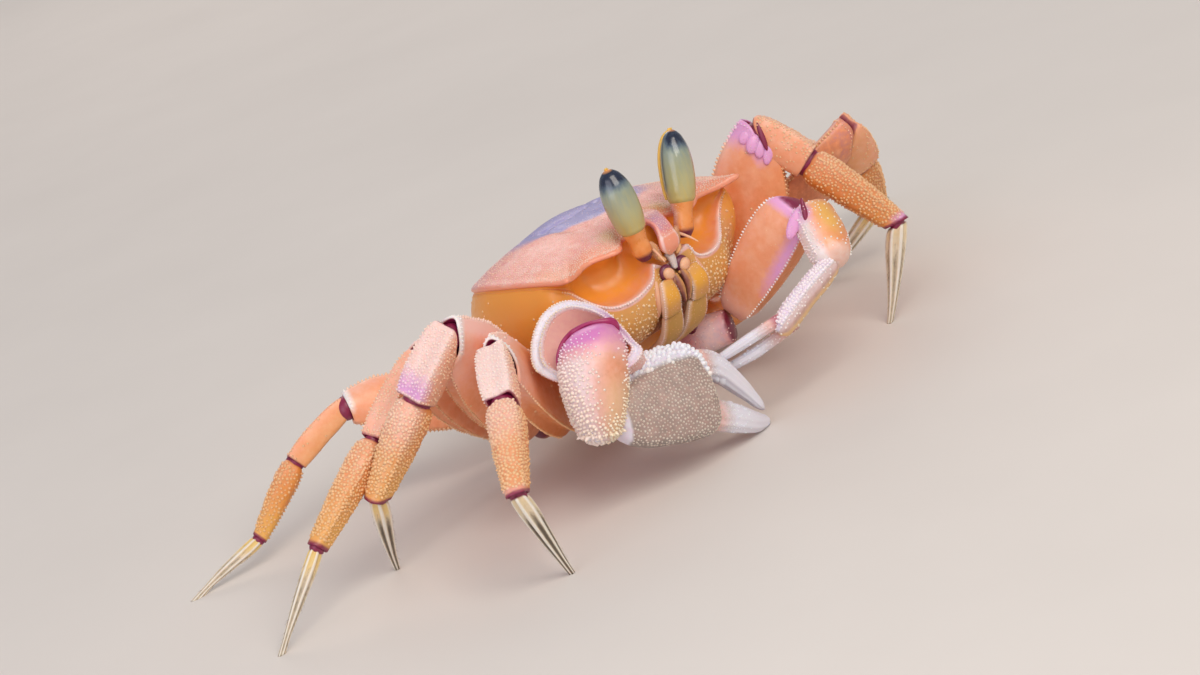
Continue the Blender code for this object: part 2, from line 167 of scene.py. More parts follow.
def bezier(a, b, c, d, t):
    """The spot at t on the curve from a to d that b and c pull at."""
    return (1 - t) ** 3 * a + 3 * t * (1 - t) ** 2 * b + 3 * t * t * (1 - t) * c + t**3 * d


def along_path(path, at, towards):
    """A smooth line through points, and at each spot two directions square to it, the first one towards."""
    middle = through(path, at)
    way = units(np.gradient(middle, axis=0))
    towards = np.asarray(towards, float)
    first = units(towards - way * (way @ towards)[:, None])
    return middle, first, np.cross(way, first)


def lines(share, marks, low, high):
    """A mask of lines along a bar, at the columns marked, between two shares of its length."""
    mask = np.zeros(share.shape)
    for mark in marks:
        mask[:, mark % share.shape[1]] = (share[:, 0] >= low) & (share[:, 0] <= high)
    return mask


def ring_faces(rows, columns):
    """The faces between rings of points, and a fan over each end. The fans' two middles come last."""
    faces = []
    for i in range(rows - 1):
        here, there = i * columns, (i + 1) * columns
        for j in range(columns):
            k = (j + 1) % columns
            faces.append((here + j, here + k, there + k, there + j))
    first, last = rows * columns, (rows - 1) * columns
    for j in range(columns):
        k = (j + 1) % columns
        faces.append((first, k, j))
        faces.append((first + 1, last + j, last + k))
    return faces


def put(name, data):
    """Links a new object into the scene."""
    made = bpy.data.objects.new(name, data)
    bpy.context.scene.collection.objects.link(made)
    return made


# What is painted on a skin, point by point: washes of colour, where things grow, and how large they grow.
MASKS = ("deep", "yellow", "pink", "pale", "lilac", "wine", "granules", "beads", "bristles", "size")


class Skin:
    """Closed surfaces gathered into one mesh, with painted masks."""

    def __init__(self):
        self.points = []
        self.faces = []
        self.masks = {name: [] for name in MASKS}
        self.lay = []

    def grid(self, rings, masks=None, lay=(0, 0, 0)):
        """Rings of equally many points, each closed on itself, with a fan over each end."""
        rings = np.asarray(rings, float)
        rows, columns = rings.shape[:2]
        start = len(self.points)
        self.points += rings.reshape(-1, 3).tolist()
        self.points += [rings[0].mean(0).tolist(), rings[-1].mean(0).tolist()]
        self.faces += [tuple(i + start for i in face) for face in ring_faces(rows, columns)]
        for name in MASKS:
            values = (masks or {}).get(name, 1.0 if name == "size" else 0.0)
            values = np.broadcast_to(np.asarray(values, float), (rows, columns))
            self.masks[name] += [*values.reshape(-1).tolist(), values[0].mean(), values[-1].mean()]
        self.lay += [tuple(lay)] * (rows * columns + 2)

    def ball(self, centre, axes, masks=None, rows=14, columns=24):
        """An egg with three half axes."""
        centre, axes = np.asarray(centre, float), np.asarray(axes, float)
        tilt = (np.pi * (np.arange(rows) + 0.5) / rows)[:, None, None]
        turn = (2 * np.pi * np.arange(columns) / columns)[None, :, None]
        girdle = np.cos(turn) * axes[1] + np.sin(turn) * axes[2]
        self.grid(centre + np.cos(tilt) * axes[0] + np.sin(tilt) * girdle, masks)

    def thing(self, name):
        """The skin as an object with its masks as attributes."""
        mesh = bpy.data.meshes.new(name)
        mesh.from_pydata(to_world(self.points).tolist(), [], self.faces)
        for mask, values in self.masks.items():
            layer = mesh.attributes.new(mask, "FLOAT", "POINT")
            layer.data.foreach_set("value", np.array(values, np.float32))
        layer = mesh.attributes.new("lay", "FLOAT_VECTOR", "POINT")
        layer.data.foreach_set("vector", np.array(self.lay, np.float32).reshape(-1))
        shape = bmesh.new()
        shape.from_mesh(mesh)
        bmesh.ops.recalc_face_normals(shape, faces=shape.faces[:])
        shape.to_mesh(mesh)
        shape.free()
        mesh.shade_smooth()
        return put(name, mesh)


# ---------------------------------------------------------------- materials


def linear(code):
    """An sRGB hex colour as linear light."""
    parts = [int(code[i : i + 2], 16) / 255 for i in (1, 3, 5)]
    return (*[p / 12.92 if p <= 0.04045 else ((p + 0.055) / 1.055) ** 2.4 for p in parts], 1.0)


def connect(node, **links):
    """Gives a node's inputs, by name or as i0, i1 … by number, a value or another node's socket."""
    for key, value in links.items():
        numbered = key[0] == "i" and key[1:].isdigit()
        socket = node.inputs[int(key[1:]) if numbered else key.replace("_", " ")]
        if isinstance(value, bpy.types.NodeSocket):
            node.id_data.links.new(value, socket)
        else:
            socket.default_value = value
    return node


def add_node(tree, kind, settings=None, **links):
    """Adds a node. Settings are its own properties; links are its inputs, as connect takes them."""
    made = tree.nodes.new(kind)
    for key, value in (settings or {}).items():
        setattr(made, key, value)
    return connect(made, **links)


def new_material(name):
    """A material, its tree and its surface shader."""
    material = bpy.data.materials.new(name)
    material.use_nodes = True
    return material, material.node_tree, material.node_tree.nodes["Principled BSDF"]


def mix_colours(tree, share, under, over):
    return add_node(tree, "ShaderNodeMix", {"data_type": "RGBA"}, i0=share, i6=under, i7=over).outputs[2]


def painted(tree, mask):
    return add_node(tree, "ShaderNodeAttribute", {"attribute_name": mask}).outputs["Fac"]


def per_metre(millimetres):
    """The scale of a pattern whose marks are so many millimetres apart."""
    return 1000.0 / millimetres


def noise(tree, millimetres, detail=3.0):
    return add_node(
        tree, "ShaderNodeTexNoise", Vector=add_node(tree, "ShaderNodeTexCoord").outputs["Object"],
        Scale=per_metre(millimetres), Detail=detail, Roughness=0.55,
    ).outputs["Fac"]


def ramp(tree, value, low, high, first=0.0, last=1.0):
    """Turns a value between low and high into one between first and last."""
    return add_node(
        tree, "ShaderNodeMapRange", {"clamp": True},
        Value=value, From_Min=low, From_Max=high, To_Min=first, To_Max=last,
    ).outputs["Result"]


def dent(tree, surface, height, strength, distance):
    """Lets a height raise and sink the surface by so many metres."""
    bump = add_node(tree, "ShaderNodeBump", Strength=strength, Distance=distance, Height=height)
    connect(surface, Normal=bump.outputs["Normal"])


def chitin(name, base, mottle, washes, rough=(0.34, 0.52), glow=0.18, height=0.25, coat=0.12):
    """A crab's outer shell: lime-hardened chitin, slightly clear, with fine pits and a waxy gloss.

    base is the colour of clean shell. mottle is the second colour that clouds it at about 2 mm and
    freckles it at about 0.4 mm. washes are (painted mask, colour, strength), laid on in turn.
    """
    material, tree, surface = new_material(name)
    cloud = ramp(tree, noise(tree, 2.4), 0.42, 0.68, 0.0, 0.75)
    colour = mix_colours(tree, cloud, linear(base), linear(mottle))
    freckle = ramp(tree, noise(tree, 0.42, 2.0), 0.58, 0.74, 0.0, 0.30)
    colour = mix_colours(tree, freckle, colour, linear(mottle))
    for mask, code, strength in washes:
        edge = noise(tree, 0.9, 4.0)
        ragged = add_node(
            tree, "ShaderNodeMath", {"operation": "MULTIPLY_ADD"}, i0=edge, i1=0.5, i2=painted(tree, mask)
        )
        share = ramp(tree, ragged.outputs[0], 0.38, 1.13, 0.0, strength)
        colour = mix_colours(tree, share, colour, linear(code))
    connect(
        surface, Base_Color=colour, Roughness=ramp(tree, noise(tree, 1.1), 0.35, 0.7, *rough), IOR=1.54,
        Subsurface_Weight=glow, Subsurface_Radius=(1.0, 0.42, 0.22), Subsurface_Scale=0.0012,
        Coat_Weight=coat, Coat_Roughness=0.22,
    )
    dent(tree, surface, noise(tree, 0.22, 4.0), height, 0.00008)
    return material


SHELLS = {
    # Smooth plates of the limbs: salmon shell that lets a little light through.
    "limb shell": dict(
        base="#F0A076", mottle="#F6B894",
        washes=(
            ("deep", "#D87A2E", 0.95), ("yellow", "#E6B055", 0.9), ("pink", "#FBC9BE", 0.95),
            ("pale", "#F3E8E6", 0.95), ("lilac", "#E3A3D2", 1.0), ("wine", "#841A44", 1.0),
        ),
    ),
    # Knobs on the limbs: thick opaque lime, lighter than the plate that they stand on.
    "limb knobs": dict(
        base="#EDBE90", mottle="#F5C49C", rough=(0.38, 0.55), glow=0.1, coat=0.05,
        washes=(
            ("yellow", "#EABB76", 0.8), ("deep", "#E9AE74", 0.7), ("pink", "#FAD6CC", 0.8),
            ("pale", "#F8F2EE", 0.9), ("lilac", "#EFC6E4", 0.8),
        ),
    ),
    # The back: rosy shell, clouded with lilac, over amber side walls.
    "back shell": dict(
        base="#E69088", mottle="#EBB0A8", rough=(0.30, 0.46), glow=0.22, height=0.18,
        washes=(
            ("deep", "#F19F3C", 1.0), ("yellow", "#DCA355", 0.95), ("pink", "#F09C7C", 0.9),
            ("pale", "#F6D3CB", 0.95), ("lilac", "#8A82BC", 1.0), ("wine", "#6A1230", 1.0),
        ),
    ),
    # Grains on the back and the face: cream lime.
    "back grains": dict(
        base="#F6C8AE", mottle="#F6D9CC", glow=0.08, coat=0.03,
        washes=(
            ("yellow", "#F3D6A8", 0.9), ("deep", "#F5BE80", 0.8), ("pale", "#FBE9E4", 0.9),
            ("lilac", "#C9BAD6", 0.8),
        ),
    ),
    # The claws: thick grey-rose shell.
    "claw shell": dict(
        base="#92837B", mottle="#A5968C", glow=0.14,
        washes=(
            ("deep", "#DD8A50", 1.0), ("yellow", "#E5BB84", 0.95), ("pink", "#ECB3A6", 1.0),
            ("pale", "#E6E2EC", 0.95), ("lilac", "#D67FBE", 1.0), ("wine", "#A01A5C", 1.0),
        ),
    ),
    # Knobs and teeth on the claws: chalk-white lime.
    "claw teeth": dict(
        base="#F3E9E2", mottle="#F8F0EA", rough=(0.4, 0.55), glow=0.1, coat=0.04,
        washes=(
            ("pale", "#F4F5FB", 1.0), ("pink", "#F8DDD6", 0.7), ("lilac", "#F0D0E8", 0.8),
            ("yellow", "#F2DDB8", 0.7),
        ),
    ),
    # Low knobs on the broad palm: lime, stained beige.
    "palm knobs": dict(
        base="#CDBCAE", mottle="#DCCFC2", rough=(0.4, 0.55), glow=0.1, coat=0.04,
        washes=(("pale", "#F4F5FB", 1.0), ("pink", "#D6C0B2", 0.7)),
    ),
    # Mouth doors: thin ochre shell.
    "mouth shell": dict(
        base="#DDA457", mottle="#D99A58", glow=0.2,
        washes=(
            ("yellow", "#EBAA36", 0.9), ("deep", "#C89B4A", 0.9), ("pink", "#F0B898", 0.9),
            ("pale", "#F1D3BC", 0.9), ("lilac", "#C9CDD6", 0.9), ("wine", "#6E2846", 1.0),
        ),
    ),
    # Toes: horn, cream and ribbed.
    "toe horn": dict(
        base="#DCCBB0", mottle="#CDB898", rough=(0.4, 0.6), glow=0.08,
        washes=(
            ("yellow", "#E3BE62", 0.9), ("pale", "#E9E3DA", 0.9), ("deep", "#43372C", 0.9),
            ("wine", "#7A1C38", 1.0),
        ),
    ),
    # Eyestalks: thin orange skin.
    "eyestalk skin": dict(
        base="#E48C42", mottle="#EBA061", rough=(0.26, 0.4), glow=0.22, height=0.1,
        washes=(
            ("pink", "#EDB7AE", 0.9), ("yellow", "#EDBE52", 0.9), ("pale", "#F2DCD6", 0.9),
            ("wine", "#6A1230", 1.0),
        ),
    ),
}


def hair_material():
    """Stiff brown bristles: keratin-like, dry."""
    material, tree, surface = new_material("bristle hair")
    colour = mix_colours(tree, noise(tree, 1.5), linear("#3A2420"), linear("#8C6A4E"))
    colour = mix_colours(tree, painted(tree, "wine"), colour, linear("#3E1024"))
    connect(surface, Base_Color=colour, Roughness=0.6)
    return material


def cornea_material():
    """The eye: a clear skin over fine facets, straw at the foot, sea green, and inky at the top."""
    material, tree, surface = new_material("eye lens")
    place = add_node(tree, "ShaderNodeTexCoord").outputs["Object"]
    long = add_node(tree, "ShaderNodeMapping", Vector=place, Scale=(1.0, 1.0, 0.16)).outputs["Vector"]
    streak = add_node(tree, "ShaderNodeTexNoise", Vector=long, Scale=1900.0, Detail=5.0).outputs["Fac"]
    brushed = add_node(
        tree, "ShaderNodeMath", {"operation": "MULTIPLY_ADD"}, i0=streak, i1=0.30, i2=painted(tree, "deep")
    )
    bands = add_node(tree, "ShaderNodeValToRGB", Fac=brushed.outputs[0])
    (low, low_code), *between, (high, high_code) = (
        (0.10, "#BFAA62"), (0.34, "#ADA87A"), (0.62, "#8F9A8C"), (0.84, "#566674"), (1.0, "#16203A"),
    )
    stops = bands.color_ramp.elements
    stops[0].position, stops[0].color = low, linear(low_code)
    stops[1].position, stops[1].color = high, linear(high_code)
    for spot, code in between:
        stops.new(spot).color = linear(code)
    colour = bands.outputs["Color"]
    for mask, code in (("yellow", "#D8A63C"), ("wine", "#1B2230"), ("pink", "#F2A35C")):
        colour = mix_colours(tree, painted(tree, mask), colour, linear(code))
    connect(
        surface, Base_Color=colour, Roughness=0.24, Coat_Weight=0.6, Coat_Roughness=0.08,
        Subsurface_Weight=0.2, Subsurface_Radius=(0.8, 0.9, 0.5), Subsurface_Scale=0.0015,
    )
    facets = add_node(tree, "ShaderNodeTexVoronoi", Vector=place, Scale=per_metre(0.16))
    dent(tree, surface, facets.outputs["Distance"], 0.12, 0.00002)
    return material


finish = {name: chitin(name, **looks) for name, looks in SHELLS.items()}
finish["bristle hair"] = hair_material()
finish["eye lens"] = cornea_material()

# ---------------------------------------------------------------- what grows on a skin


def pattern_shape(name, rings, corners):
    """A small closed shape of a few dozen faces, one unit high, that is repeated many times."""
    turns = [2 * math.pi * k / corners for k in range(corners)]
    points = [(r * math.cos(turn), r * math.sin(turn), z) for r, z in rings for turn in turns]
    points += [(0, 0, rings[0][1]), (0, 0, 1.0)]
    mesh = bpy.data.meshes.new(name)
    mesh.from_pydata(points, [], ring_faces(len(rings), corners))
    mesh.shade_smooth()
    return put(name, mesh)


PATTERNS = {
    "grain": pattern_shape("grain", ((1.0, -0.15), (0.66, 0.6)), 5),
    "knob": pattern_shape("knob", ((1.0, -0.5), (0.97, 0.2), (0.62, 0.8)), 7),
    "tooth": pattern_shape("tooth", ((1.0, -0.4), (0.9, 0.15), (0.5, 0.7)), 7),
    "hair": pattern_shape("hair", ((1.0, -0.05), (0.7, 0.5)), 3),
}


SMALLEST, LARGEST = 0.72, 1.18  # how far the repeated shapes differ in size


def growth_tree():
    """The Geometry Nodes tree that covers a skin with grains, lines its marked edges and gives it hair."""
    tree = bpy.data.node_groups.new("shell growth", "GeometryNodeTree")

    def socket(name, kind, way="INPUT"):
        tree.interface.new_socket(name, in_out=way, socket_type="NodeSocket" + kind)

    socket("Skin", "Geometry")
    for kind in ("Grain", "Bead", "Hair"):
        socket(f"{kind} Shape", "Object")
        for measure in ("Spacing", "Radius", "Height"):
            socket(f"{kind} {measure}", "Float")
        socket(f"{kind} Material", "Material")
    socket("Seed", "Int")
    socket("Grown", "Geometry", "OUTPUT")
    given = add_node(tree, "NodeGroupInput").outputs

    def named(mask, kind="FLOAT"):
        settings = {"data_type": kind}
        return add_node(tree, "GeometryNodeInputNamedAttribute", settings, Name=mask).outputs[0]

    def calc(operation, a, b):
        return add_node(tree, "ShaderNodeMath", {"operation": operation}, i0=a, i1=b).outputs[0]

    def facing(vector):
        """The turn that stands a shape up along a vector."""
        return add_node(
            tree, "FunctionNodeAlignRotationToVector", {"axis": "Z"}, Vector=vector
        ).outputs[0]

    def place(kind, points, turn, seed):
        """Sets a shape on points and makes it plain mesh."""
        chance = add_node(
            tree, "FunctionNodeRandomValue", {"data_type": "FLOAT"}, Seed=seed, i2=SMALLEST, i3=LARGEST
        )
        size = calc("MULTIPLY", chance.outputs[1], named("size"))
        wide = calc("MULTIPLY", given[f"{kind} Radius"], size)
        high = calc("MULTIPLY", given[f"{kind} Height"], size)
        scale = add_node(tree, "ShaderNodeCombineXYZ", X=wide, Y=wide, Z=high).outputs[0]
        shape = add_node(tree, "GeometryNodeObjectInfo", i0=given[f"{kind} Shape"]).outputs["Geometry"]
        copies = add_node(
            tree, "GeometryNodeInstanceOnPoints", Points=points, Instance=shape, Rotation=turn, Scale=scale
        ).outputs[0]
        plain = add_node(tree, "GeometryNodeRealizeInstances", Geometry=copies).outputs[0]
        return add_node(
            tree, "GeometryNodeSetMaterial", Geometry=plain, Material=given[f"{kind} Material"]
        ).outputs[0]

    def scatter(kind, mask, seed_step, leans):
        """Spreads a shape over the skin where the mask is painted, upright or leaning along the lay."""
        seed = calc("ADD", given["Seed"], seed_step)
        spacing = given[f"{kind} Spacing"]
        points = add_node(
            tree, "GeometryNodeDistributePointsOnFaces", {"distribute_method": "POISSON"},
            Mesh=given["Skin"], Distance_Min=spacing,
            Density_Max=calc("DIVIDE", 3.0, calc("MULTIPLY", spacing, spacing)),
            Density_Factor=named(mask), Seed=seed,
        ).outputs
        turn = points["Rotation"]
        if leans:
            lay = named("lay", "FLOAT_VECTOR")
            aim = add_node(tree, "ShaderNodeVectorMath", {"operation": "ADD"}, i0=points["Normal"], i1=lay)
            turn = facing(aim.outputs[0])
        return place(kind, points["Points"], turn, seed)

    grains = scatter("Grain", "granules", 0, False)
    hairs = scatter("Hair", "bristles", 7, True)
    kept = add_node(
        tree, "GeometryNodeStoreNamedAttribute", {"data_type": "FLOAT_VECTOR", "domain": "POINT"},
        Geometry=given["Skin"], Name="facing", Value=add_node(tree, "GeometryNodeInputNormal").outputs[0],
    ).outputs[0]
    settings = {"data_type": "FLOAT", "operation": "GREATER_THAN"}
    marked = add_node(tree, "FunctionNodeCompare", settings, i0=named("beads"), i1=0.9).outputs[0]
    edge = add_node(tree, "GeometryNodeMeshToCurve", Mesh=kept, Selection=marked).outputs[0]
    steps = add_node(
        tree, "GeometryNodeResampleCurve", {"mode": "LENGTH"}, Curve=edge, Length=given["Bead Spacing"]
    ).outputs[0]
    turn = facing(named("facing", "FLOAT_VECTOR"))
    beads = place("Bead", steps, turn, calc("ADD", given["Seed"], 3))
    joined = add_node(tree, "GeometryNodeJoinGeometry")
    for part in (hairs, beads, grains, given["Skin"]):
        tree.links.new(part, joined.inputs[0])
    add_node(tree, "NodeGroupOutput", i0=joined.outputs[0])
    return tree


GROWTH = growth_tree()
INPUTS = {item.name: item.identifier for item in GROWTH.interface.items_tree if item.in_out == "INPUT"}
NOTHING = ("grain", 400.0, 0.001, 0.001)  # too sparse and too small to be there at all


def grow(skin, name, material, nodes, seed, grain=None, bead=None, hair=None):
    """Turns a skin into a finished piece, and hides the nodes that it replaces.

    grain, bead and hair are (shape, spacing, radius, height, finish), with the measures in millimetres.
    """
    thing = skin.thing(name)
    thing.data.materials.append(finish[material])
    modifier = thing.modifiers.new("growth", "NODES")
    modifier.node_group = GROWTH
    for kind, choice in (("Grain", grain), ("Bead", bead), ("Hair", hair)):
        shape, spacing, radius, height, look = choice or (*NOTHING, material)
        modifier[INPUTS[f"{kind} Shape"]] = PATTERNS[shape]
        modifier[INPUTS[f"{kind} Spacing"]] = spacing / 1000
        modifier[INPUTS[f"{kind} Radius"]] = radius / 1000
        modifier[INPUTS[f"{kind} Height"]] = height / 1000
        modifier[INPUTS[f"{kind} Material"]] = finish[look]
    modifier[INPUTS["Seed"]] = seed
    graph = bpy.context.evaluated_depsgraph_get()
    grown = bpy.data.meshes.new_from_object(thing.evaluated_get(graph), depsgraph=graph)
    thing.modifiers.clear()
    thing.data = grown
    for spare in ("facing", "lay", "granules", "beads", "bristles", "size"):
        if spare in grown.attributes:
            grown.attributes.remove(grown.attributes[spare])
    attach(thing, "root")
    if nodes:
        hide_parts(*nodes)


# ---------------------------------------------------------------- legs

COLUMNS = 48  # points round a limb piece
STEP = COLUMNS // 12  # columns from one corner of a section to the next
SKEW = 0.05  # how far a slanted joint may run along a limb piece
NOSE = 0.04  # the share of a limb piece that its rounded root takes


def mirrored(half):
    """A whole section from its right half, which runs from the top to the foot."""
    return half + tuple((-x, y) for x, y in half[-2:0:-1])


LEG_SECTIONS = {
    "merus": mirrored(
        ((0, 1.0), (0.42, 0.84), (0.92, 0.34), (1.0, -0.25), (0.85, -0.74), (0.62, -1.0), (0, -0.86))
    ),
    "carpus": mirrored(
        ((0, 0.84), (0.5, 0.9), (0.92, 0.86), (1.0, 0.3), (0.86, -0.4), (0.55, -0.9), (0, -1.0))
    ),
    "propodus": mirrored(
        ((0, 1.0), (0.55, 0.93), (0.95, 0.62), (1.0, 0), (0.95, -0.62), (0.55, -0.93), (0, -1.0))
    ),
}
PIECES = ("merus", "carpus", "propodus", "dactylus")
ROWS = (46, 34, 40, 44)  # rings along each piece
SOCKETS = (0.05, 0.05, 0.025, 0.0)  # how deep each piece's end is hollowed, as a share of its length
RIMS = (0.045, 0.03, 0.02, 0.0)  # how far each piece's end swells
PLUGS = (0.045, 0.04, 0.022)  # how far the soft skin bulges out of each hollow, in carapace widths
# Along each piece: share of the length, height, thickness and rise, for a leg of full size.
LEG_STATIONS = {
    "merus": (
        (0.0, 0.12, 0.085, 0.0), (0.08, 0.185, 0.095, 0.0), (0.30, 0.275, 0.115, 0.004),
        (0.55, 0.305, 0.12, 0.008), (0.78, 0.270, 0.118, 0.006), (0.92, 0.200, 0.112, -0.002),
        (1.0, 0.158, 0.112, -0.010),
    ),
    "carpus": (
        (0.0, 0.135, 0.105, 0.0), (0.14, 0.158, 0.125, 0.004), (0.5, 0.172, 0.14, 0.008),
        (0.85, 0.168, 0.135, 0.004), (1.0, 0.150, 0.12, 0.0),
    ),
    "propodus": (
        (0.0, 0.125, 0.10, 0.0), (0.10, 0.150, 0.12, 0.0), (0.40, 0.150, 0.12, 0.002),
        (0.80, 0.118, 0.095, 0.0), (1.0, 0.098, 0.08, 0.0),
    ),
    "dactylus": (
        (0.0, 0.086, 0.072, 0.0), (0.12, 0.092, 0.078, 0.0), (0.5, 0.070, 0.060, 0.004),
        (0.85, 0.038, 0.034, 0.003), (1.0, 0.022, 0.022, 0.0),
    ),
}
# How stout each piece is, leg by leg from the front.
LEG_SIZES = {
    "merus": (1.02, 1.0, 0.95, 0.74),
    "carpus": (0.90, 0.96, 0.68, 0.58),
    "propodus": (0.92, 0.96, 0.78, 0.60),
    "dactylus": (0.80, 0.78, 0.62, 0.54),
}
# How strong each mark is, leg by leg from the front. The left second leg's deep of 1.1 is partly its own
# amber and partly painted shade for its merus, which lies in shadow.
TRAITS = ("deep", "lip", "knee", "lilac", "end", "pink", "yellow", "rough", "groove")
LEG_TRAITS = {
    "right": (
        (0.5, 1.0, 0.0, 0.0, 0.3, 0.95, 0.35, 1.0, 1.0),
        (0.1, 1.0, 0.0, 0.9, 0.1, 0.9, 0.9, 1.0, 0.9),
        (0.1, 0.5, 0.0, 0.1, 0.1, 0.45, 1.0, 0.7, 0.5),
        (0.1, 1.0, 0.0, 0.0, 0.0, 0.3, 1.0, 0.15, 0.4),
    ),
    "left": (
        (0.6, 0.2, 1.0, 0.15, 0.8, 0.35, 0.35, 0.7, 0.45),
        (1.1, 0.1, 0.2, 0.1, 0.4, 0.1, 0.9, 0.4, 0.5),
        (0.5, 0.6, 0.1, 0.1, 0.2, 0.5, 0.8, 0.6, 0.5),
        (0.3, 0.8, 0.0, 0.0, 0.0, 0.4, 0.9, 0.15, 0.5),
    ),
}


def toe_section():
    """Six ribs with hollows between them."""
    turn = 2 * np.pi * np.arange(COLUMNS) / COLUMNS
    reach = 1.0 + 0.13 * np.cos(6 * turn)
    return np.column_stack((np.sin(turn) * reach, np.cos(turn) * reach))


def leg_stations(piece, size):
    """A piece's stations at its size. A merus keeps its thickness, and a toe its tip."""
    table = np.array(LEG_STATIONS[piece])
    scaled = table[:-1] if piece == "dactylus" else table
    scaled[:, 1] *= size
    if piece != "merus":
        scaled[:, 2] *= size
    return table


def limb_rows(start, end, up, stations, section, first, last, rows, socket, rim):
    """A limb piece's points between two cutting planes, with a rounded root and a hollow end.

    Returns the points, each row's share of the length, and which rows are inside the hollow end.
    """
    axis = unit(end - start)
    up = square_to(up, axis)
    out = np.cross(axis, up)
    root = ((0.0, 0.3), (0.0, 0.62), (NOSE * 0.3, 0.86), (NOSE * 0.8, 0.97))
    along = np.linspace(NOSE * 1.4, 1.0, rows)
    body = [(share, 1.0 + rim * hill(share, 0.982, 0.02)) for share in along]
    lip = ((1.0, 0.93), (1.0 - socket * 0.2, 0.86), (1.0 - socket, 0.74), (1.0 - socket * 1.1, 0.3))
    shares, scales = np.array(root + tuple(body) + lip).T
    sizes = flow(stations, shares)
    high = section[None, :, 1] * (sizes[:, 0] / 2 * scales)[:, None]
    wide = section[None, :, 0] * (sizes[:, 1] / 2 * scales)[:, None]
    offset = start + up * (sizes[:, 2:3, None] + high[..., None]) + out * wide[..., None]
    near = ((first[0] - offset) @ first[1]) / (axis @ first[1])
    far = ((last[0] - offset) @ last[1]) / (axis @ last[1])
    length = np.linalg.norm(end - start)
    near = SKEW * np.tanh(near / SKEW)
    far = length + SKEW * np.tanh((far - length) / SKEW)
    points = offset + axis * (near + (far - near) * shares[:, None])[..., None]
    inside = np.zeros(len(shares))
    inside[-3:] = 1.0
    return points, shares, inside


def leg_masks(piece, shares, inside, traits):
    """The paint of one leg piece."""
    s = shares[:, None] * np.ones((1, COLUMNS))
    turn = np.arange(COLUMNS)[None, :] / COLUMNS  # 0 at the upper edge
    above = 0.5 + 0.5 * np.cos(2 * np.pi * turn)
    outside = 1 - inside[:, None]
    brim = np.zeros(s.shape)
    brim[np.argmin(np.abs(shares - 0.985) + inside)] = 1.0
    pink, yellow, deep = traits["pink"], traits["yellow"], traits["deep"]
    if piece == "merus":
        edges = lines(s, (0, 5 * STEP, 7 * STEP), 0.12, 0.985)
        masks = {
            # On the left second leg the deep amber here is partly painted shade.
            "deep": deep * (1 - 0.65 * rise(s, 0.1, 0.9)) + 0.35 * (1 - above) * outside,
            "pale": 0.95 * rise(s, 0.945, 0.97) * rise(above, 0.3, 0.7) * outside * traits["lip"],
            "lilac": traits["knee"] * rise(s, 0.80, 0.95) * rise(above, 0.25, 0.6),
            "pink": pink * rise(above, 0.75, 0.98) + 0.6 * pink * rise(s, 0.6, 1.0),
            # Painted shade: a deep above 0.85, which only the left second leg has, lays wine-red over its
            # merus to darken it as if in shadow.
            "wine": 0.9 * max(deep - 0.85, 0) * outside,
            "granules": 0.05 * rise(above, 0.8, 1.0) + 0.01,
            "beads": np.maximum(edges, brim * (above > 0.55)),
            "size": 0.75 + 0.4 * above - 0.5 * rise(s, 0.96, 0.98),
        }
    elif piece == "carpus":
        edges = lines(s, (2 * STEP, 10 * STEP), 0.06, 0.97)
        knobs = (0.35 + 0.65 * rise(above, 0.3, 0.6)) * rise(s, 0.06, 0.12) * rise(0.97 - s, 0, 0.02)
        end = rise(s, 0.50, 0.95) * (1 - rise(s, 0.95, 0.99))
        masks = {
            "pink": pink * (0.45 + 0.55 * rise(above, 0.5, 0.9)),
            "pale": 0.45 * rise(pink, 0.8, 0.95) * rise(above, 0.4, 0.8),
            "yellow": 0.5 * yellow * (1 - above),
            "lilac": traits["lilac"] * end * rise(above, 0.3, 0.9),
            "wine": 0.8 * rise(1 - s, 0.965, 0.995) + 0.7 * rise(s, 0.975, 0.995),
            "granules": knobs * traits["rough"],
            "beads": np.maximum(edges, brim * (above > 0.4)),
            "size": 0.66 + 0.2 * above,
        }
    elif piece == "propodus":
        knobs = (0.45 + 0.55 * rise(above, 0.1, 0.4)) * rise(0.95 - s, 0.0, 0.03) * rise(s, 0.03, 0.06)
        masks = {
            "pink": pink * 0.6 * (1 - rise(s, 0.15, 0.7)) * rise(above, 0.3, 0.8),
            "yellow": yellow * (0.35 + 0.65 * rise(s, 0.3, 0.95)) * (1 - 0.4 * above),
            "deep": 0.5 * (1 - above) + 0.25 + 0.35 * (1 - pink),
            "pale": 0.1 * rise(above, 0.3, 0.8),
            "lilac": traits["end"] * rise(s, 0.86, 0.96) * rise(above, 0.2, 0.8),
            "wine": 0.95 * rise(s, 0.955, 0.985) + 0.7 * rise(1 - s, 0.97, 0.995),
            "granules": knobs,
            "beads": lines(s, (2 * STEP, 10 * STEP, 6 * STEP), 0.04, 0.94),
            "size": 0.80 + 0.35 * above,
        }
    else:
        ribs = 0.5 + 0.5 * np.cos(12 * np.pi * turn)
        masks = {
            "yellow": 0.8 * (1 - rise(s, 0.05, 0.4)) * yellow,
            "wine": 0.9 * rise(1 - s, 0.975, 0.995),
            "deep": traits["groove"] * (1 - rise(ribs, 0.3, 0.75)) * rise(s, 0.12, 0.4),
            "pale": 0.8 * rise(ribs, 0.5, 0.9),
            "bristles": (1 - rise(ribs, 0.2, 0.5)) * rise(s, 0.06, 0.3) * rise(0.97 - s, 0, 0.1),
        }
    masks["wine"] = np.maximum(masks["wine"], inside[:, None])
    for growth in ("granules", "beads"):
        masks[growth] = masks.get(growth, 0.0) * outside
    return masks


def leg_joints(side, number):
    """The leg's nodes, and its five joints from the body to the toe's end, as the frame has them."""
    names = [f"{side}_leg{number + 1}_{piece}" for piece in PIECES]
    joints = [closest(node_points(names[0]), node_points("thorax"), 10)]
    joints += [meeting(a, b) for a, b in zip(names, names[1:])]
    toe = node_points(names[3])
    joints.append(toe[np.argsort(toe[:, 2])[:10]].mean(axis=0))
    return names, joints


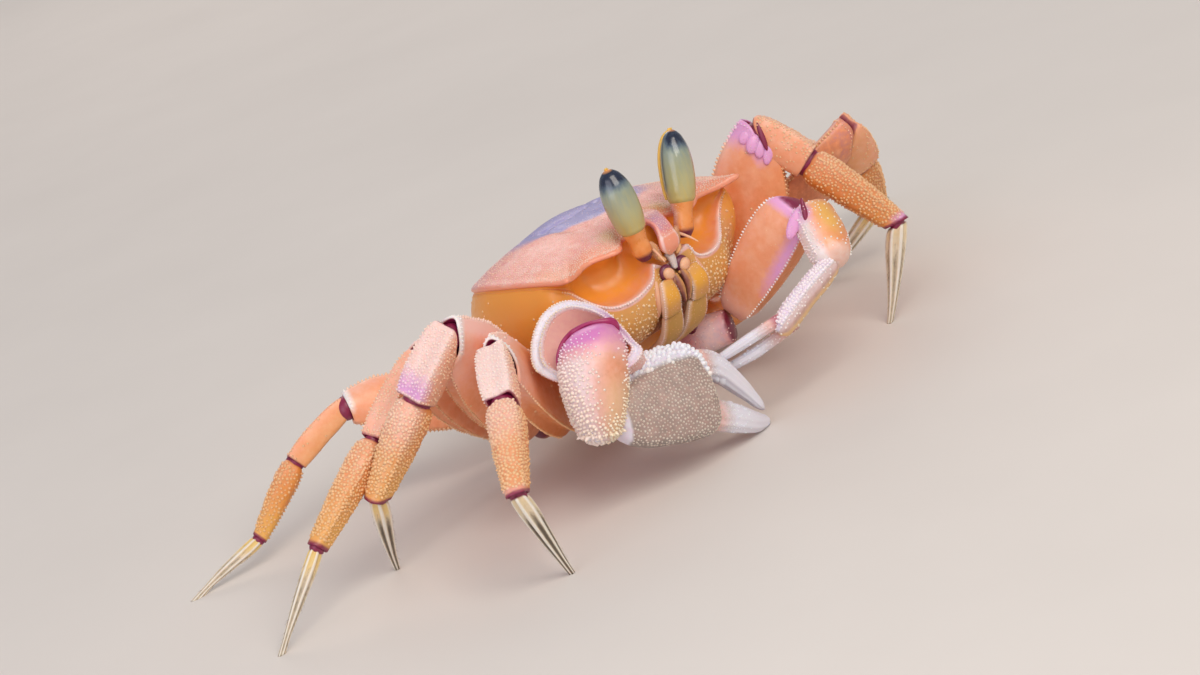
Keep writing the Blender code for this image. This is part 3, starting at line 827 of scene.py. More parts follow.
def build_leg(side, number):
    names, joints = leg_joints(side, number)
    spans = [b - a for a, b in zip(joints, joints[1:])]
    ways = [unit(span) for span in spans]
    across = -unit(np.cross(ways[0], ways[1]) + np.cross(ways[1], ways[2]))
    traits = dict(zip(TRAITS, LEG_TRAITS[side][number]))
    mitres = [unit(a + b) for a, b in zip(ways, ways[1:])]
    planes = [spans[0], *mitres, np.array((0, 0, -1.0))]
    gap = 0.15 * MILLIMETRE
    for i, (piece, way) in enumerate(zip(PIECES, ways)):
        toe = piece == "dactylus"
        up = np.cross(across, way)
        first = (joints[i] + way * gap, planes[i])
        last = (joints[i + 1] - (0 if toe else way * gap), planes[i + 1])
        stations = leg_stations(piece, LEG_SIZES[piece][number])
        points, shares, inside = limb_rows(
            joints[i], joints[i + 1], up, stations,
            toe_section() if toe else round_section(LEG_SECTIONS[piece], COLUMNS),
            first, last, ROWS[i], SOCKETS[i], RIMS[i],
        )
        skin = Skin()
        skin.grid(points, leg_masks(piece, shares, inside * (not toe), traits), way * 1.4)
        seed = 100 * (SIDES[side] + 2) + 10 * number + i
        if toe:
            grow(
                skin, names[i] + "_horn", "toe horn", [names[i]], seed,
                hair=("hair", 0.42, 0.022, 0.85, "bristle hair"),
            )
            continue
        _, height, thickness, lift = stations[-1]
        plug = (way * PLUGS[i], up * height * 0.43, np.cross(way, up) * thickness * 0.43)
        skin.ball(joints[i + 1] + up * lift, plug, {"wine": 1.0})
        dense = piece != "merus" and traits["rough"] > 0.65
        teeth = (0.72, 0.29, 0.42) if piece == "merus" else (0.66, 0.26, 0.34)
        grow(
            skin, names[i] + "_shell", "limb shell", [names[i]], seed,
            grain=("knob", 0.52 if dense else 0.60, 0.27, 0.20, "limb knobs"),
            bead=("tooth", *teeth, "limb knobs"),
        )


for side in SIDES:
    for number in range(4):
        build_leg(side, number)

# ---------------------------------------------------------------- carapace

# One half of the shell, column by column from the beak round to the middle of the back, in carapace
# widths: the upper margin, the lower margin of the eye socket, the foot of the side wall, and the depth
# of the socket between the two margins.
UPPER_MARGIN = (
    (0.0, -0.425, 0.045), (0.045, -0.42, 0.035), (0.08, -0.385, 0.02), (0.112, -0.352, 0.004),
    (0.142, -0.374, -0.002), (0.176, -0.407, -0.002), (0.207, -0.416, -0.002), (0.238, -0.405, -0.001),
    (0.292, -0.366, -0.002), (0.335, -0.362, -0.004), (0.379, -0.378, -0.005), (0.43, -0.402, -0.002),
    (0.478, -0.42, 0.006), (0.486, -0.375, -0.002), (0.488, -0.29, -0.006), (0.494, -0.18, -0.010),
    (0.497, -0.06, -0.018), (0.485, 0.08, -0.033), (0.448, 0.20, -0.058), (0.388, 0.30, -0.085),
    (0.30, 0.38, -0.11), (0.21, 0.423, -0.122), (0.11, 0.436, -0.13), (0.0, 0.44, -0.13),
)
LOWER_MARGIN = (
    (0.0, -0.435, -0.145), (0.036, -0.437, -0.143), (0.070, -0.440, -0.122), (0.094, -0.448, -0.112),
    (0.116, -0.446, -0.155), (0.150, -0.434, -0.180), (0.19, -0.425, -0.194), (0.23, -0.415, -0.199),
    (0.275, -0.400, -0.196), (0.31, -0.385, -0.183), (0.345, -0.362, -0.155), (0.38, -0.342, -0.115),
    (0.418, -0.335, -0.072), (0.458, -0.325, -0.045), (0.484, -0.283, -0.032), (0.493, -0.178, -0.033),
    (0.497, -0.06, -0.040), (0.486, 0.080, -0.055), (0.449, 0.200, -0.080), (0.389, 0.301, -0.107),
    (0.301, 0.381, -0.132), (0.210, 0.424, -0.143), (0.110, 0.438, -0.15), (0.0, 0.442, -0.15),
)
WALL_FOOT = (
    (0.0, -0.15, -0.47), (0.04, -0.15, -0.47), (0.06, -0.15, -0.47), (0.085, -0.15, -0.47),
    (0.115, -0.15, -0.47), (0.145, -0.15, -0.47), (0.175, -0.15, -0.47), (0.205, -0.155, -0.47),
    (0.24, -0.16, -0.47), (0.275, -0.165, -0.47), (0.305, -0.165, -0.465), (0.335, -0.165, -0.46),
    (0.365, -0.16, -0.46), (0.395, -0.145, -0.46), (0.415, -0.11, -0.46), (0.43, -0.05, -0.46),
    (0.435, 0.03, -0.46), (0.425, 0.12, -0.46), (0.395, 0.21, -0.46), (0.35, 0.285, -0.46),
    (0.28, 0.345, -0.46), (0.20, 0.38, -0.46), (0.10, 0.39, -0.46), (0.0, 0.395, -0.46),
)
SOCKET_DEPTH = (
    0.015, 0.03, 0.055, 0.085, 0.11, 0.125, 0.13, 0.13, 0.125, 0.115, 0.10, 0.075, 0.045, 0.020, 0.006,
    0.003, 0.002, 0.002, 0.002, 0.002, 0.002, 0.002, 0.002, 0.002,
)
HALF_COLUMNS = 138  # steps from the beak to the middle of the back
CROWN = 0.055  # how high the middle of the back stands above its margin
UNDERSIDE = -0.475  # where the shell closes below
LOWER_RIM = ((0.006, 0.001), (0.009, -0.005), (0.006, -0.012))  # how far out, and how far up
BEADED = 0.009  # the ring of the lower rim that carries the beads


def round_whole(half):
    """Mirrors one half's columns, so that they run all the way round."""
    other = half[1:-1][::-1].copy()
    other[:, 0] = -other[:, 0]
    return np.concatenate((half, other))


def shell_columns():
    at = np.linspace(0, 1, HALF_COLUMNS + 1)
    curves = [round_whole(through(table, at)) for table in (UPPER_MARGIN, LOWER_MARGIN, WALL_FOOT)]
    depth = through(SOCKET_DEPTH, at)[:, 0]
    return (*curves, *(np.concatenate((half, half[1:-1][::-1])) for half in (depth, at)))


def back_relief(x, y, share):
    """Low swellings of the back: stomach, heart and gill regions, with grooves between them."""
    wide = np.abs(x)
    swell = 0.016 * hill(wide, 0.29, 0.15) * hill(y, 0.02, 0.24)
    swell += 0.013 * hill(x, 0.0, 0.12) * hill(y, -0.18, 0.15)
    swell += 0.010 * hill(x, 0.0, 0.10) * hill(y, 0.17, 0.11)
    groove = 0.010 * hill(wide - 0.145 - 0.25 * (y + 0.02) ** 2, 0.0, 0.022) * hill(y, 0.0, 0.16)
    groove += 0.007 * hill(y - 0.02 - 0.3 * wide, 0.0, 0.02) * hill(wide, 0.08, 0.10)
    return (swell - groove) * rise(1.0 - share, 0.0, 0.12)


EVENING = 16  # how many columns a notch is smoothed over


def evened(ring):
    """The same outline with its notches smoothed away."""
    reach = np.arange(-3 * EVENING, 3 * EVENING + 1)
    weights = np.exp(-((reach / EVENING) ** 2))
    return sum(weight * np.roll(ring, k, axis=0) for k, weight in zip(reach, weights)) / weights.sum()


def level(rows):
    """The level directions of some points from the middle of the shell."""
    return units(np.column_stack((rows[:, 0], rows[:, 1], np.zeros(len(rows)))), TINY)


def carapace_rings():
    """The shell's rings from the top of the back, over the margin, through the sockets and down the wall.

    Returns the rings, each ring's kind and place, and each column's share of the way from beak to rear.
    """
    upper, lower, foot, depth, along = shell_columns()
    rings, kinds = [], []

    def lay(kind, place, ring):
        rings.append(ring)
        kinds.append((kind, place))

    even = evened(upper)
    for share in 1 - (1 - np.linspace(0.03, 1.0, 46)) ** 1.25:
        blend = rise(share, 0.5, 1.0) ** 1.5
        outline = even * (1 - blend) + upper * blend
        ring = outline * share
        ring[:, 1] += 0.01 * (1 - share)
        ring[:, 2] = CROWN * (1 - share**2.6) + outline[:, 2] * share**2
        ring[:, 2] += back_relief(ring[:, 0], ring[:, 1], share)
        ring[:, 2] += 0.004 * hill(share, 0.98, 0.03) * rise(along, 0.06, 0.16)
        lay("back", share, ring)
    inward = level(-upper)
    for back_in, down in ((-0.003, -0.004), (-0.002, -0.009), (0.004, -0.014)):
        lay("rim", down, upper + inward * back_in + np.array((0, 0, down)))
    start = rings[-1]
    pull = np.column_stack((-0.35 * upper[:, 0], np.full(len(upper), 0.9), np.zeros(len(upper))))
    side_on = rise(along, 0.44, 0.60)[:, None]
    pull = units(pull * (1 - side_on) + inward * side_on, TINY)
    handle = pull * (depth * 1.34)[:, None]
    for t in np.linspace(0, 1, 24)[1:]:
        lay("socket", t, bezier(start, start + handle, lower + handle * 0.9, lower, t))
    outward = level(lower)
    crest = rise(along, 0.05, 0.12) * (1 - rise(along, 0.55, 0.62))
    for out, lift in LOWER_RIM:
        ring = lower + outward * (out * crest)[:, None] + np.outer(lift * crest, (0, 0, 1.0))
        lay("lower rim", out, ring)
    top = rings[-1]
    face = (rise(-lower[:, 1], 0.26, 0.42) * (1 - rise(along, 0.50, 0.62)))[:, None]
    chin = (0.3 + 0.7 * rise(along, 0.07, 0.16))[:, None]
    upper_pull = face * chin * (0, -0.024, 0) + (0, 0, -0.12) + outward * 0.075 * (1 - face)
    lower_pull = face * (0, -0.25, -0.04) + (0, 0, 0.12) + outward * 0.085 * (1 - face)
    for t in np.linspace(0, 1, 34)[1:]:
        lay("wall", t, bezier(top, top + upper_pull, foot + lower_pull, foot, t))
    for share in (0.9, 0.6, 0.25):
        ring = foot * share
        ring[:, 1] += 0.10 * (1 - share)
        ring[:, 2] = UNDERSIDE
        lay("under", share, ring)
    return np.array(rings), kinds, along


def back_masks(x, y, share, along):
    """The paint of one ring of the back, with its lilac patch."""
    far = rise(np.hypot((x - 0.03) / 0.29, (y - 0.05) / 0.30), 0.62, 1.22)
    patch = rise(y - 0.9 * np.clip(-0.02 - x, 0, 1), -0.20, -0.13) * (1 - far)
    patch = 1.15 * patch * (1 - 0.4 * rise(y, 0.16, 0.34))
    grains = np.clip(0.55 + 0.6 * rise(-y, -0.12, 0.12) - 0.8 * patch, 0.12, 1)
    return {
        "lilac": patch + 0.35 * hill(y, 0.3, 0.15),
        "pink": 0.9 * rise(share, 0.72, 0.95) * rise(-y, 0.1, 0.3),
        "pale": 0.3 * hill(np.abs(x), 0.30, 0.12) * hill(y, -0.12, 0.16),
        "yellow": 0.8 * hill(np.abs(x), 0.13, 0.06) * hill(y, -0.33, 0.07),
        "granules": grains * (1 - rise(share, 0.975, 0.995)),
        "deep": 0.3 * rise(share, 0.97, 0.99) * rise(along, 0.14, 0.3),
        "size": 0.8 + 0.35 * rise(share, 0.4, 1.0),
    }


def carapace_masks(rings, kinds, along):
    masks = {name: np.full(rings.shape[:2], float(name == "size")) for name in MASKS}
    front = 1 - rise(along, 0.40, 0.58)
    for i, (kind, place) in enumerate(kinds):
        if kind == "back":
            paint = back_masks(rings[i, :, 0], rings[i, :, 1], place, along)
        elif kind == "rim":
            paint = {"pink": 0.95, "deep": 0.35}
        elif kind == "socket":
            pale = 0.8 * rise(place, 0.93, 1.0) * front
            paint = {"deep": 1.0 - 0.45 * rise(place, 0.6, 1.0), "pale": pale}
        elif kind == "lower rim":
            beads = (along > 0.125) & (along < 0.555) & (place == BEADED)
            paint = {"pale": front, "deep": 1 - front, "beads": beads}
        elif kind == "wall":
            sides = 0.25 * (1 - front) * hill(place, 0.5, 0.3)
            paint = {
                "deep": 1 - 0.75 * front,
                "yellow": front * (0.9 - 0.5 * rise(place, 0.5, 1.0)) + sides,
                "bristles": front * rise(place, 0.02, 0.08) * rise(along, 0.16, 0.19) + 0.02,
                "granules": 0.25 * front * rise(place, 0.02, 0.1),
            }
        else:
            paint = {"deep": 1.0}
        for name, values in paint.items():
            masks[name][i] = values
    return masks


def beak_rings():
    """The narrow front lobe between the eyestalks, hollowed along its middle, with a raised rim."""
    stations = (
        (0.0, -0.27, 0.026, 0.085), (0.2, -0.36, 0.042, 0.066), (0.4, -0.422, 0.040, 0.044),
        (0.52, -0.448, 0.022, 0.036), (0.68, -0.466, -0.020, 0.039), (0.82, -0.471, -0.058, 0.047),
        (0.93, -0.464, -0.086, 0.037), (1.0, -0.452, -0.102, 0.008),
    )
    rows, count = 44, 40
    t = np.linspace(0, 1, rows)
    back, height, width = flow(stations, t).T
    path = np.column_stack((np.zeros(rows), back, height))
    up = np.cross(units(np.gradient(path, axis=0)), (1.0, 0, 0))
    turn = 2 * np.pi * np.arange(count) / count
    across, lift = np.sin(turn), np.cos(turn)
    top = lift > 0
    thick = 0.016 * np.sign(lift) * np.abs(lift) ** 0.6
    rings = []
    for k in range(rows):
        rim = 0.0035 * hill(np.abs(across), 0.86, 0.16) * rise(k / (rows - 1), 0.45, 0.6) * top
        rings.append(path[k] + np.outer(across * width[k], (1, 0, 0)) + up[k] * (thick + rim)[:, None])
    share = t[:, None] * np.ones(count)
    edge = hill(np.abs(across), 0.9, 0.14) * top
    return rings, {
        "pink": 0.9 * rise(share, 0.6, 0.75) * (1 - edge),
        "pale": 0.7 * edge * rise(share, 0.5, 0.7) + 0.5 * hill(share, 0.72, 0.02) * top,
        "lilac": 0.4 * hill(share, 0.50, 0.2) * (1 - edge),
        "yellow": 0.5 * rise(share, 0.8, 0.95),
        "granules": (1.0 - 0.9 * rise(share, 0.68, 0.76)) * top * (1 - edge) * rise(share, 0.0, 0.1),
        "size": 0.85,
    }


def build_carapace():
    skin = Skin()
    rings, kinds, along = carapace_rings()
    skin.grid(rings, carapace_masks(rings, kinds, along))
    skin.grid(*beak_rings())
    grow(
        skin, "carapace_shell", "back shell", ["carapace"], 5,
        grain=("grain", 0.36, 0.155, 0.085, "back grains"),
        bead=("knob", 0.50, 0.22, 0.22, "back grains"),
        hair=("knob", 0.86, 0.25, 0.17, "back grains"),
    )


build_carapace()

# ---------------------------------------------------------------- underside


def tube(skin, path, widths, heights, up, masks, columns=28, square=0.8, rows=30):
    """A closed rounded bar through a few points, with its breadth and height along the way.

    masks is the paint, or gives it from the share of the length and the turn round the bar.
    """
    at = np.linspace(0, 1, rows)
    middle, up, out = along_path(path, at, up)
    wide = through(widths, at)[:, 0] / 2
    high = through(heights, at)[:, 0] / 2
    ends = np.sqrt(np.clip(1 - np.clip(1 - np.minimum(at, 1 - at) / 0.07, 0, 1) ** 2, 0.02, 1))
    turn = 2 * np.pi * np.arange(columns) / columns
    a, b = (np.sign(side) * np.abs(side) ** square for side in (np.cos(turn), np.sin(turn)))
    rings = (
        middle[:, None]
        + up[:, None] * (high * ends)[:, None, None] * a[None, :, None]
        + out[:, None] * (wide * ends)[:, None, None] * b[None, :, None]
    )
    share, around = np.broadcast_arrays(at[:, None], turn[None, :])
    skin.grid(rings, masks(share, around) if callable(masks) else masks)


def add_breastplate(skin):
    """The plates between the legs, with a groove for each pair."""
    foot = round_whole(through(WALL_FOOT, np.linspace(0, 1, 90)))
    steps = (
        (0.97, -0.445), (0.955, -0.50), (0.90, -0.55), (0.80, -0.60),
        (0.64, -0.64), (0.42, -0.655), (0.18, -0.658), (0.05, -0.658),
    )
    rings = []
    for share, z in through(steps, np.linspace(0, 1, 40)):
        ring = foot * share
        ring[:, 1] += 0.11 * (1 - share)
        ring[:, 2] = z
        wide = np.abs(ring[:, 0])
        groove = sum(hill(ring[:, 1] - 0.10 * wide, spot, 0.011) for spot in (-0.10, 0.02, 0.13, 0.23))
        ring[:, 2] += 0.012 * groove * rise(wide, 0.06, 0.12) * rise(-z, 0.56, 0.62)
        ring[:, 2] += 0.02 * hill(ring[:, 0], 0.0, 0.07) * rise(-z, 0.60, 0.65)
        rings.append(ring)
    skin.grid(rings, {"deep": 0.75, "yellow": 0.3, "granules": 0.02})


def leg_root_paint(share, _):
    wine, pale = 0.9 * rise(share, 0.86, 0.97), 0.25 * hill(share, 0.8, 0.08)
    return {"deep": 0.7, "wine": wine, "granules": 0.03, "pale": pale}


def claw_root_paint(share, _):
    wine, pale = 0.95 * rise(share, 0.88, 0.97), 0.95 * hill(share, 0.65, 0.25)
    return {"lilac": 0.3, "wine": wine, "granules": 0.3, "pale": pale}


def build_underside():
    """The breastplate with its crosswise grooves, and the short first joint of every limb."""
    skin = Skin()
    add_breastplate(skin)
    for side, sign in SIDES.items():
        for number in range(4):
            start = leg_joints(side, number)[1][0]
            way = unit((start[0] * 0.45, start[1] * 0.4, 0.0))
            size = 0.5 + 0.5 * LEG_SIZES["merus"][number]
            tube(
                skin, (start - way * 0.24 + (0, 0, 0.005), start - way * 0.12, start + way * 0.004),
                (0.15 * size, 0.16 * size, 0.115 * size), (0.13 * size, 0.135 * size, 0.12 * size),
                (0, 0, 1), leg_root_paint,
            )
        shoulder = closest(node_points(f"{side}_claw_merus"), node_points("thorax"), 12)
        way = unit((sign * 0.6, -0.8, 0.0))
        tube(
            skin, (shoulder - way * 0.24, shoulder - way * 0.12 + (0, 0, -0.01), shoulder + way * 0.005),
            (0.14, 0.165, 0.13), (0.13, 0.14, 0.13), (0, 0, 1), claw_root_paint,
        )
        skin.ball(
            shoulder - way * 0.15 + (sign * -0.02, -0.01, 0.015), np.diag((0.05, 0.06, 0.055)),
            {"wine": 0.9, "bristles": 1.0}, rows=20, columns=30,
        )
    grow(
        skin, "thorax_shell", "back shell", ["thorax"], 6,
        grain=("grain", 0.7, 0.16, 0.12, "back grains"), hair=("hair", 0.45, 0.03, 1.5, "bristle hair"),
    )


TAIL_PLATES = 7


def build_abdomen():
    """The tail folded under the body: seven plates that overlap backwards."""
    low, high = in_widths(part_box("abdomen"))
    skin = Skin()
    step = (high[1] - low[1]) / TAIL_PLATES
    middle = (low[2] + high[2]) / 2
    for k in range(TAIL_PLATES):
        wide = 0.06 + 0.17 * ((k + 0.5) / TAIL_PLATES) ** 0.8
        start = low[1] + k * step
        path = (
            (0, start - 0.004, middle + 0.003),
            (0, start + step / 2, middle),
            (0, start + step + 0.006, middle - 0.001),
        )
        tube(
            skin, path, (wide * 0.9, wide, wide * 1.02), (0.022, 0.034, 0.030), (0, 0, 1),
            {"deep": 0.6, "pale": 0.25, "granules": 0.03}, rows=14,
        )
    grow(skin, "abdomen_shell", "back shell", ["abdomen"], 7)


build_underside()
build_abdomen()

# ---------------------------------------------------------------- mouth, feelers and eyes

FORWARD = (0, -1, -0.15)  # the way the mouth faces
# Each bar of a mouth door on the left side: its path, its breadths, its thicknesses, and how many rings.
DOOR_PLATES = (
    (((0.068, -0.458, -0.186), (0.079, -0.468, -0.255), (0.078, -0.443, -0.328)),
     (0.060, 0.090, 0.092), (0.034, 0.046, 0.036)),
    (((0.070, -0.440, -0.318), (0.066, -0.378, -0.420), (0.072, -0.240, -0.505)),
     (0.096, 0.116, 0.095), (0.036, 0.044, 0.036)),
)
DOOR_FEELERS = (
    (((0.020, -0.462, -0.180), (0.020, -0.476, -0.235), (0.008, -0.462, -0.305)), (0.022, 0.030, 0.012)),
    (((0.004, -0.458, -0.188), (0.034, -0.468, -0.205), (0.036, -0.462, -0.250)), (0.016, 0.018, 0.010)),
)
DOOR_BAR = (
    (0.107, -0.450, -0.168), (0.125, -0.452, -0.235), (0.126, -0.428, -0.298), (0.130, -0.350, -0.352),
)
PLATE_EDGES = (7, 29)  # the columns at a plate's two edges


def plate_paint(share, around):
    """The upper plate of a mouth door: ochre, with a pale beaded edge."""
    front = rise(np.cos(around), -0.2, 0.3)
    edge = hill(np.abs(np.sin(around)), 1.0, 0.28)
    beads = np.zeros(share.shape)
    beads[2:-2, PLATE_EDGES] = 1.0
    return {
        "yellow": 0.95 * (1 - edge) * front * hill(share, 0.42, 0.26), "pale": 0.8 * edge,
        "deep": 0.9 * rise(share, 0.75, 1.0) * (1 - edge), "granules": front * (0.25 + 0.5 * edge),
        "beads": beads, "size": 0.75,
    }


def low_plate_paint(share, around):
    """The lower plate: darker, with less ochre."""
    masks = plate_paint(share, around)
    return {**masks, "deep": 0.85 * (1 - masks["pale"]), "yellow": 0.2 * masks["yellow"]}


def mouth_feeler_paint(share, around):
    # Wine-red, lifted along one side of each feeler into a paler stripe that is a painted highlight.
    wine, bristles = 0.72 - 0.45 * hill(np.cos(around + 0.6), 1, 0.3), 0.3 * rise(share, 0.5, 0.7)
    return {"wine": wine, "bristles": bristles}


def build_mouth_door(side, sign):
    """One mouth door: two bead-edged plates, wine-red feelers inside them and a thin bar outside."""
    skin = Skin()

    def bar(path, breadth, depth, masks, **settings):
        tube(skin, np.array(path) * (sign, 1, 1), breadth, depth, FORWARD, masks, **settings)

    for plate, paint in zip(DOOR_PLATES, (plate_paint, low_plate_paint)):
        bar(*plate, paint, columns=36, square=0.75, rows=34)
    for path, breadth in DOOR_FEELERS:
        bar(path, breadth, breadth, mouth_feeler_paint, rows=24)
    bar(
        DOOR_BAR, (0.012, 0.020, 0.020, 0.012), (0.018, 0.020, 0.020, 0.014),
        {"pink": 0.95, "granules": 0.08}, rows=34,
    )
    grow(
        skin, f"{side}_mouth_door", "mouth shell", [f"{side}_maxilliped"], 20 + sign,
        grain=("grain", 0.42, 0.12, 0.11, "back grains"), bead=("knob", 0.44, 0.18, 0.16, "back grains"),
        hair=("hair", 0.40, 0.022, 0.9, "bristle hair"),
    )


# Each egg of a feeler on the left side: its middle, its half axes (across, through, along) and its paint.
FEELER_EGGS = (
    ((0.043, -0.448, -0.169), (0.033, 0, 0), (0, 0.018, 0), (0, 0, 0.033), {"wine": 1.0}),
    ((0.044, -0.463, -0.172), (0.025, 0, 0), (0, 0.018, 0), (0.004, 0, 0.025),
     {"pink": 0.8, "granules": 0.2, "size": 0.7}),
    ((0.058, -0.446, -0.070), (0.021, 0, 0.004), (0, 0.018, 0), (-0.012, 0.004, -0.046),
     {"pink": 0.5, "wine": 0.35, "granules": 0.3}),
    ((0.046, -0.454, -0.108), (0.017, 0, 0.006), (0, 0.013, 0), (-0.006, 0, -0.015), {"pink": 0.4}),
)


def build_feeler(side, sign):
    """The knob of the inner feeler under the beak, and the jointed outer feeler beside the eyestalk."""
    skin = Skin()
    mirror = (sign, 1, 1)
    for centre, across, depth, along, masks in FEELER_EGGS:
        skin.ball(np.multiply(centre, mirror), np.multiply((along, depth, across), mirror), masks)
    if side == "left":  # the one wall between the two inner feelers
        tube(
            skin, ((0, -0.442, -0.100), (0.003, -0.452, -0.128), (0, -0.456, -0.172)),
            (0.044, 0.034, 0.020), (0.02, 0.024, 0.02), (0, -1, 0), {"lilac": 0.7, "pink": 0.3}, rows=24,
        )
    low, high = in_widths(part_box(f"{side}_antenna"))
    tip = np.array((high[0] if side == "left" else low[0], low[1], (low[2] + high[2]) / 2))
    start = np.array((sign * 0.072, -0.452, -0.055))
    path = [
        start + (tip - start) * t + (0, 0, 0.012 * math.sin(math.pi * t)) for t in (0, 0.2, 0.4, 0.62)
    ]
    thick = (0.013, 0.010, 0.008, 0.004)
    tube(skin, path, thick, thick, (0, 0, 1), {"pink": 0.9}, rows=26)
    grow(
        skin, f"{side}_feeler", "mouth shell", [f"{side}_antenna"], 30 + sign,
        grain=("grain", 0.4, 0.1, 0.09, "back grains"),
    )


# Along the stalk and the eye: share of the length, girth, and how much flatter it is from front to back.
STALK_STATIONS = (
    (-0.10, 0.022, 1.0), (-0.04, 0.034, 1.0), (0.05, 0.039, 1.0), (0.14, 0.037, 1.0),
    (0.21, 0.042, 1.0), (0.265, 0.0465, 1.0), (0.31, 0.045, 1.0), (0.36, 0.02, 1.0),
)
LENS_STATIONS = (
    (0.232, 0.012, 1.0), (0.243, 0.036, 1.0), (0.27, 0.0490, 1.0), (0.33, 0.0570, 0.98),
    (0.44, 0.0635, 0.97), (0.55, 0.066, 0.95), (0.66, 0.066, 0.93), (0.78, 0.060, 0.92),
    (0.88, 0.048, 0.90), (0.95, 0.032, 0.9), (0.985, 0.016, 0.9), (1.0, 0.004, 0.9),
)
EYE_BEND = -0.006  # how far the eye bows forwards
EYE_COLUMNS = 48


def build_eye(side, sign):
    """The short stalk and the long eye on it. The stalk runs on up the back of the eye to a small horn."""
    stalk, lens = node_points(f"{side}_eyestalk"), node_points(f"{side}_cornea")
    way = unit(lens.mean(axis=0) - stalk.mean(axis=0))
    root = stalk.mean(axis=0) + way * ((stalk - stalk.mean(axis=0)) @ way).min()
    tip = lens.mean(axis=0) + way * ((lens - lens.mean(axis=0)) @ way).max()
    length = np.linalg.norm(tip - root)
    back = square_to((-sign * 0.55, 0.8, 0.0), way)
    side_way = np.cross(way, back)
    turn = 2 * np.pi * np.arange(EYE_COLUMNS) / EYE_COLUMNS

    def bulb(stations, rows):
        """Rings up the eye, with each point's share of the length."""
        at = np.linspace(stations[0][0], stations[-1][0], rows)
        rings = []
        for share, (girth, squash) in zip(at, flow(stations, at)):
            middle = root + way * share * length + back * EYE_BEND * math.sin(math.pi * share)
            round_it = np.cos(turn)[:, None] * back * squash + np.sin(turn)[:, None] * side_way
            rings.append(middle + round_it * girth)
        return rings, at[:, None] * np.ones(EYE_COLUMNS)

    skin = Skin()
    rings, share = bulb(STALK_STATIONS, 40)
    inner = rise(np.cos(turn), -0.1, 0.9)
    rosy, grainy = (1.0, 1.0) if side == "left" else (0.4, 0.25)
    skin.grid(rings, {
        "pink": 0.85 * inner * rosy,
        "granules": 0.7 * inner * rise(share, -0.02, 0.05) * (1 - rise(share, 0.2, 0.3)) * grainy,
        "wine": 1 - rise(share, -0.06, 0.02), "yellow": 0.35 * rise(share, 0.2, 0.34), "size": 0.8,
    })
    strip = []
    loop = 2 * np.pi * np.arange(16)[:, None] / 16
    for t in np.linspace(0, 1, 34):
        s = 0.30 + 0.715 * t
        girth = float(flow(LENS_STATIONS, s)[0, 0]) if s < 1.0 else 0.004
        middle = root + way * s * length + back * (girth * 0.94 - 0.002)
        half = 0.021 * (1 - 0.55 * t) * (1.0 if t < 0.97 else 0.5)
        strip.append(middle + np.cos(loop) * side_way * half + np.sin(loop) * back * 0.009)
    skin.grid(strip, {"yellow": 0.9})
    grow(
        skin, f"{side}_eye_stalk", "eyestalk skin", [f"{side}_eyestalk"], 40 + sign,
        grain=("grain", 0.32, 0.09, 0.08, "claw teeth"),
    )

    ball = Skin()
    rings, share = bulb(LENS_STATIONS, 56)
    turned = np.cos(turn)
    height = (share - LENS_STATIONS[0][0]) / (LENS_STATIONS[-1][0] - LENS_STATIONS[0][0])
    shade = 0.72 * height + 0.30 * rise(height, 0.66, 0.86) * rise(1 - turned, 0.2, 0.9)
    ball.grid(rings, {
        "deep": np.clip(shade, 0, 0.92) - 0.06,
        "yellow": 0.5 * rise(turned, 0.80, 0.9),
        "wine": 0.8 * hill(turned, 0.70, 0.09) * rise(height, 0.1, 0.3) * rise(1 - height, 0.0, 0.1),
        "pink": rise(height, 0.972, 0.99),
    })
    grow(ball, f"{side}_eye_lens", "eye lens", [f"{side}_cornea"], 50 + sign)


for side, sign in SIDES.items():
    build_mouth_door(side, sign)
    build_feeler(side, sign)
    build_eye(side, sign)

# ---------------------------------------------------------------- claws

# Three directions that suit the claws as they are held: across the animal's front from its right, straight
# out in front of the right claw, and up.
ACROSS = np.array((0.69, -0.65, -0.32))
AHEAD = np.array((-0.58, -0.76, 0.31))
ABOVE = np.array((0.44, 0.03, 0.90))
# The claws' elbow, wrist and knuckle, counted from the shoulder, and the way each hand's upper edge faces.
CLAW_BENDS = {
    "right": ((-0.32, -0.30, 0.425), (-0.44, -0.36, 0.10), (-0.02, -0.43, 0.025)),
    "left": ((0.20, -0.36, 0.38), (0.10, -0.55, 0.22), (-0.215, -0.51, 0.095)),
}
CLAW_UP = {"right": (-0.25, 0.45, 0.86), "left": (-0.20, -0.30, 0.93)}
HAND_LIFT = 0.011  # keeps the broad hand just clear of the floor
CORNERS = 12  # of a claw's section
FINE_COLUMNS = 96  # points round the right claw's large pieces


def sweep(skin, path, sizes, section, first, second, masks, rows, warp=None):
    """A closed bar through a few points. sizes are (share, reach along first, reach along second).

    section gives each corner as (share of the first reach, share of the second reach). masks and warp give
    the paint and a shift from the share of the length and the two numbers of each corner.
    """
    at = np.linspace(0, 1, rows)
    middle, first, other = along_path(path, at, first)
    if (other @ second).mean() < 0:
        other = -other
    reach = flow(sizes, at)
    rings = (
        middle[:, None]
        + first[:, None] * (reach[:, :1] * section[None, :, 0])[..., None]
        + other[:, None] * (reach[:, 1:2] * section[None, :, 1])[..., None]
    )
    corners = (at[:, None] * np.ones(len(section)), *section.T[:, None])
    if warp:
        rings = rings + warp(*corners)
    skin.grid(rings, masks(*corners))
    return rings


HOOD_RIM = (
    (-0.115, 0.110), (-0.03, 0.094), (0.045, 0.050), (0.108, -0.022), (0.150, -0.078), (0.176, -0.112),
    (0.148, -0.160), (0.05, -0.205), (-0.10, -0.210), (-0.215, -0.15), (-0.235, -0.045), (-0.195, 0.066),
)
HOOD_MIDDLE = np.array((-0.02, -0.05))
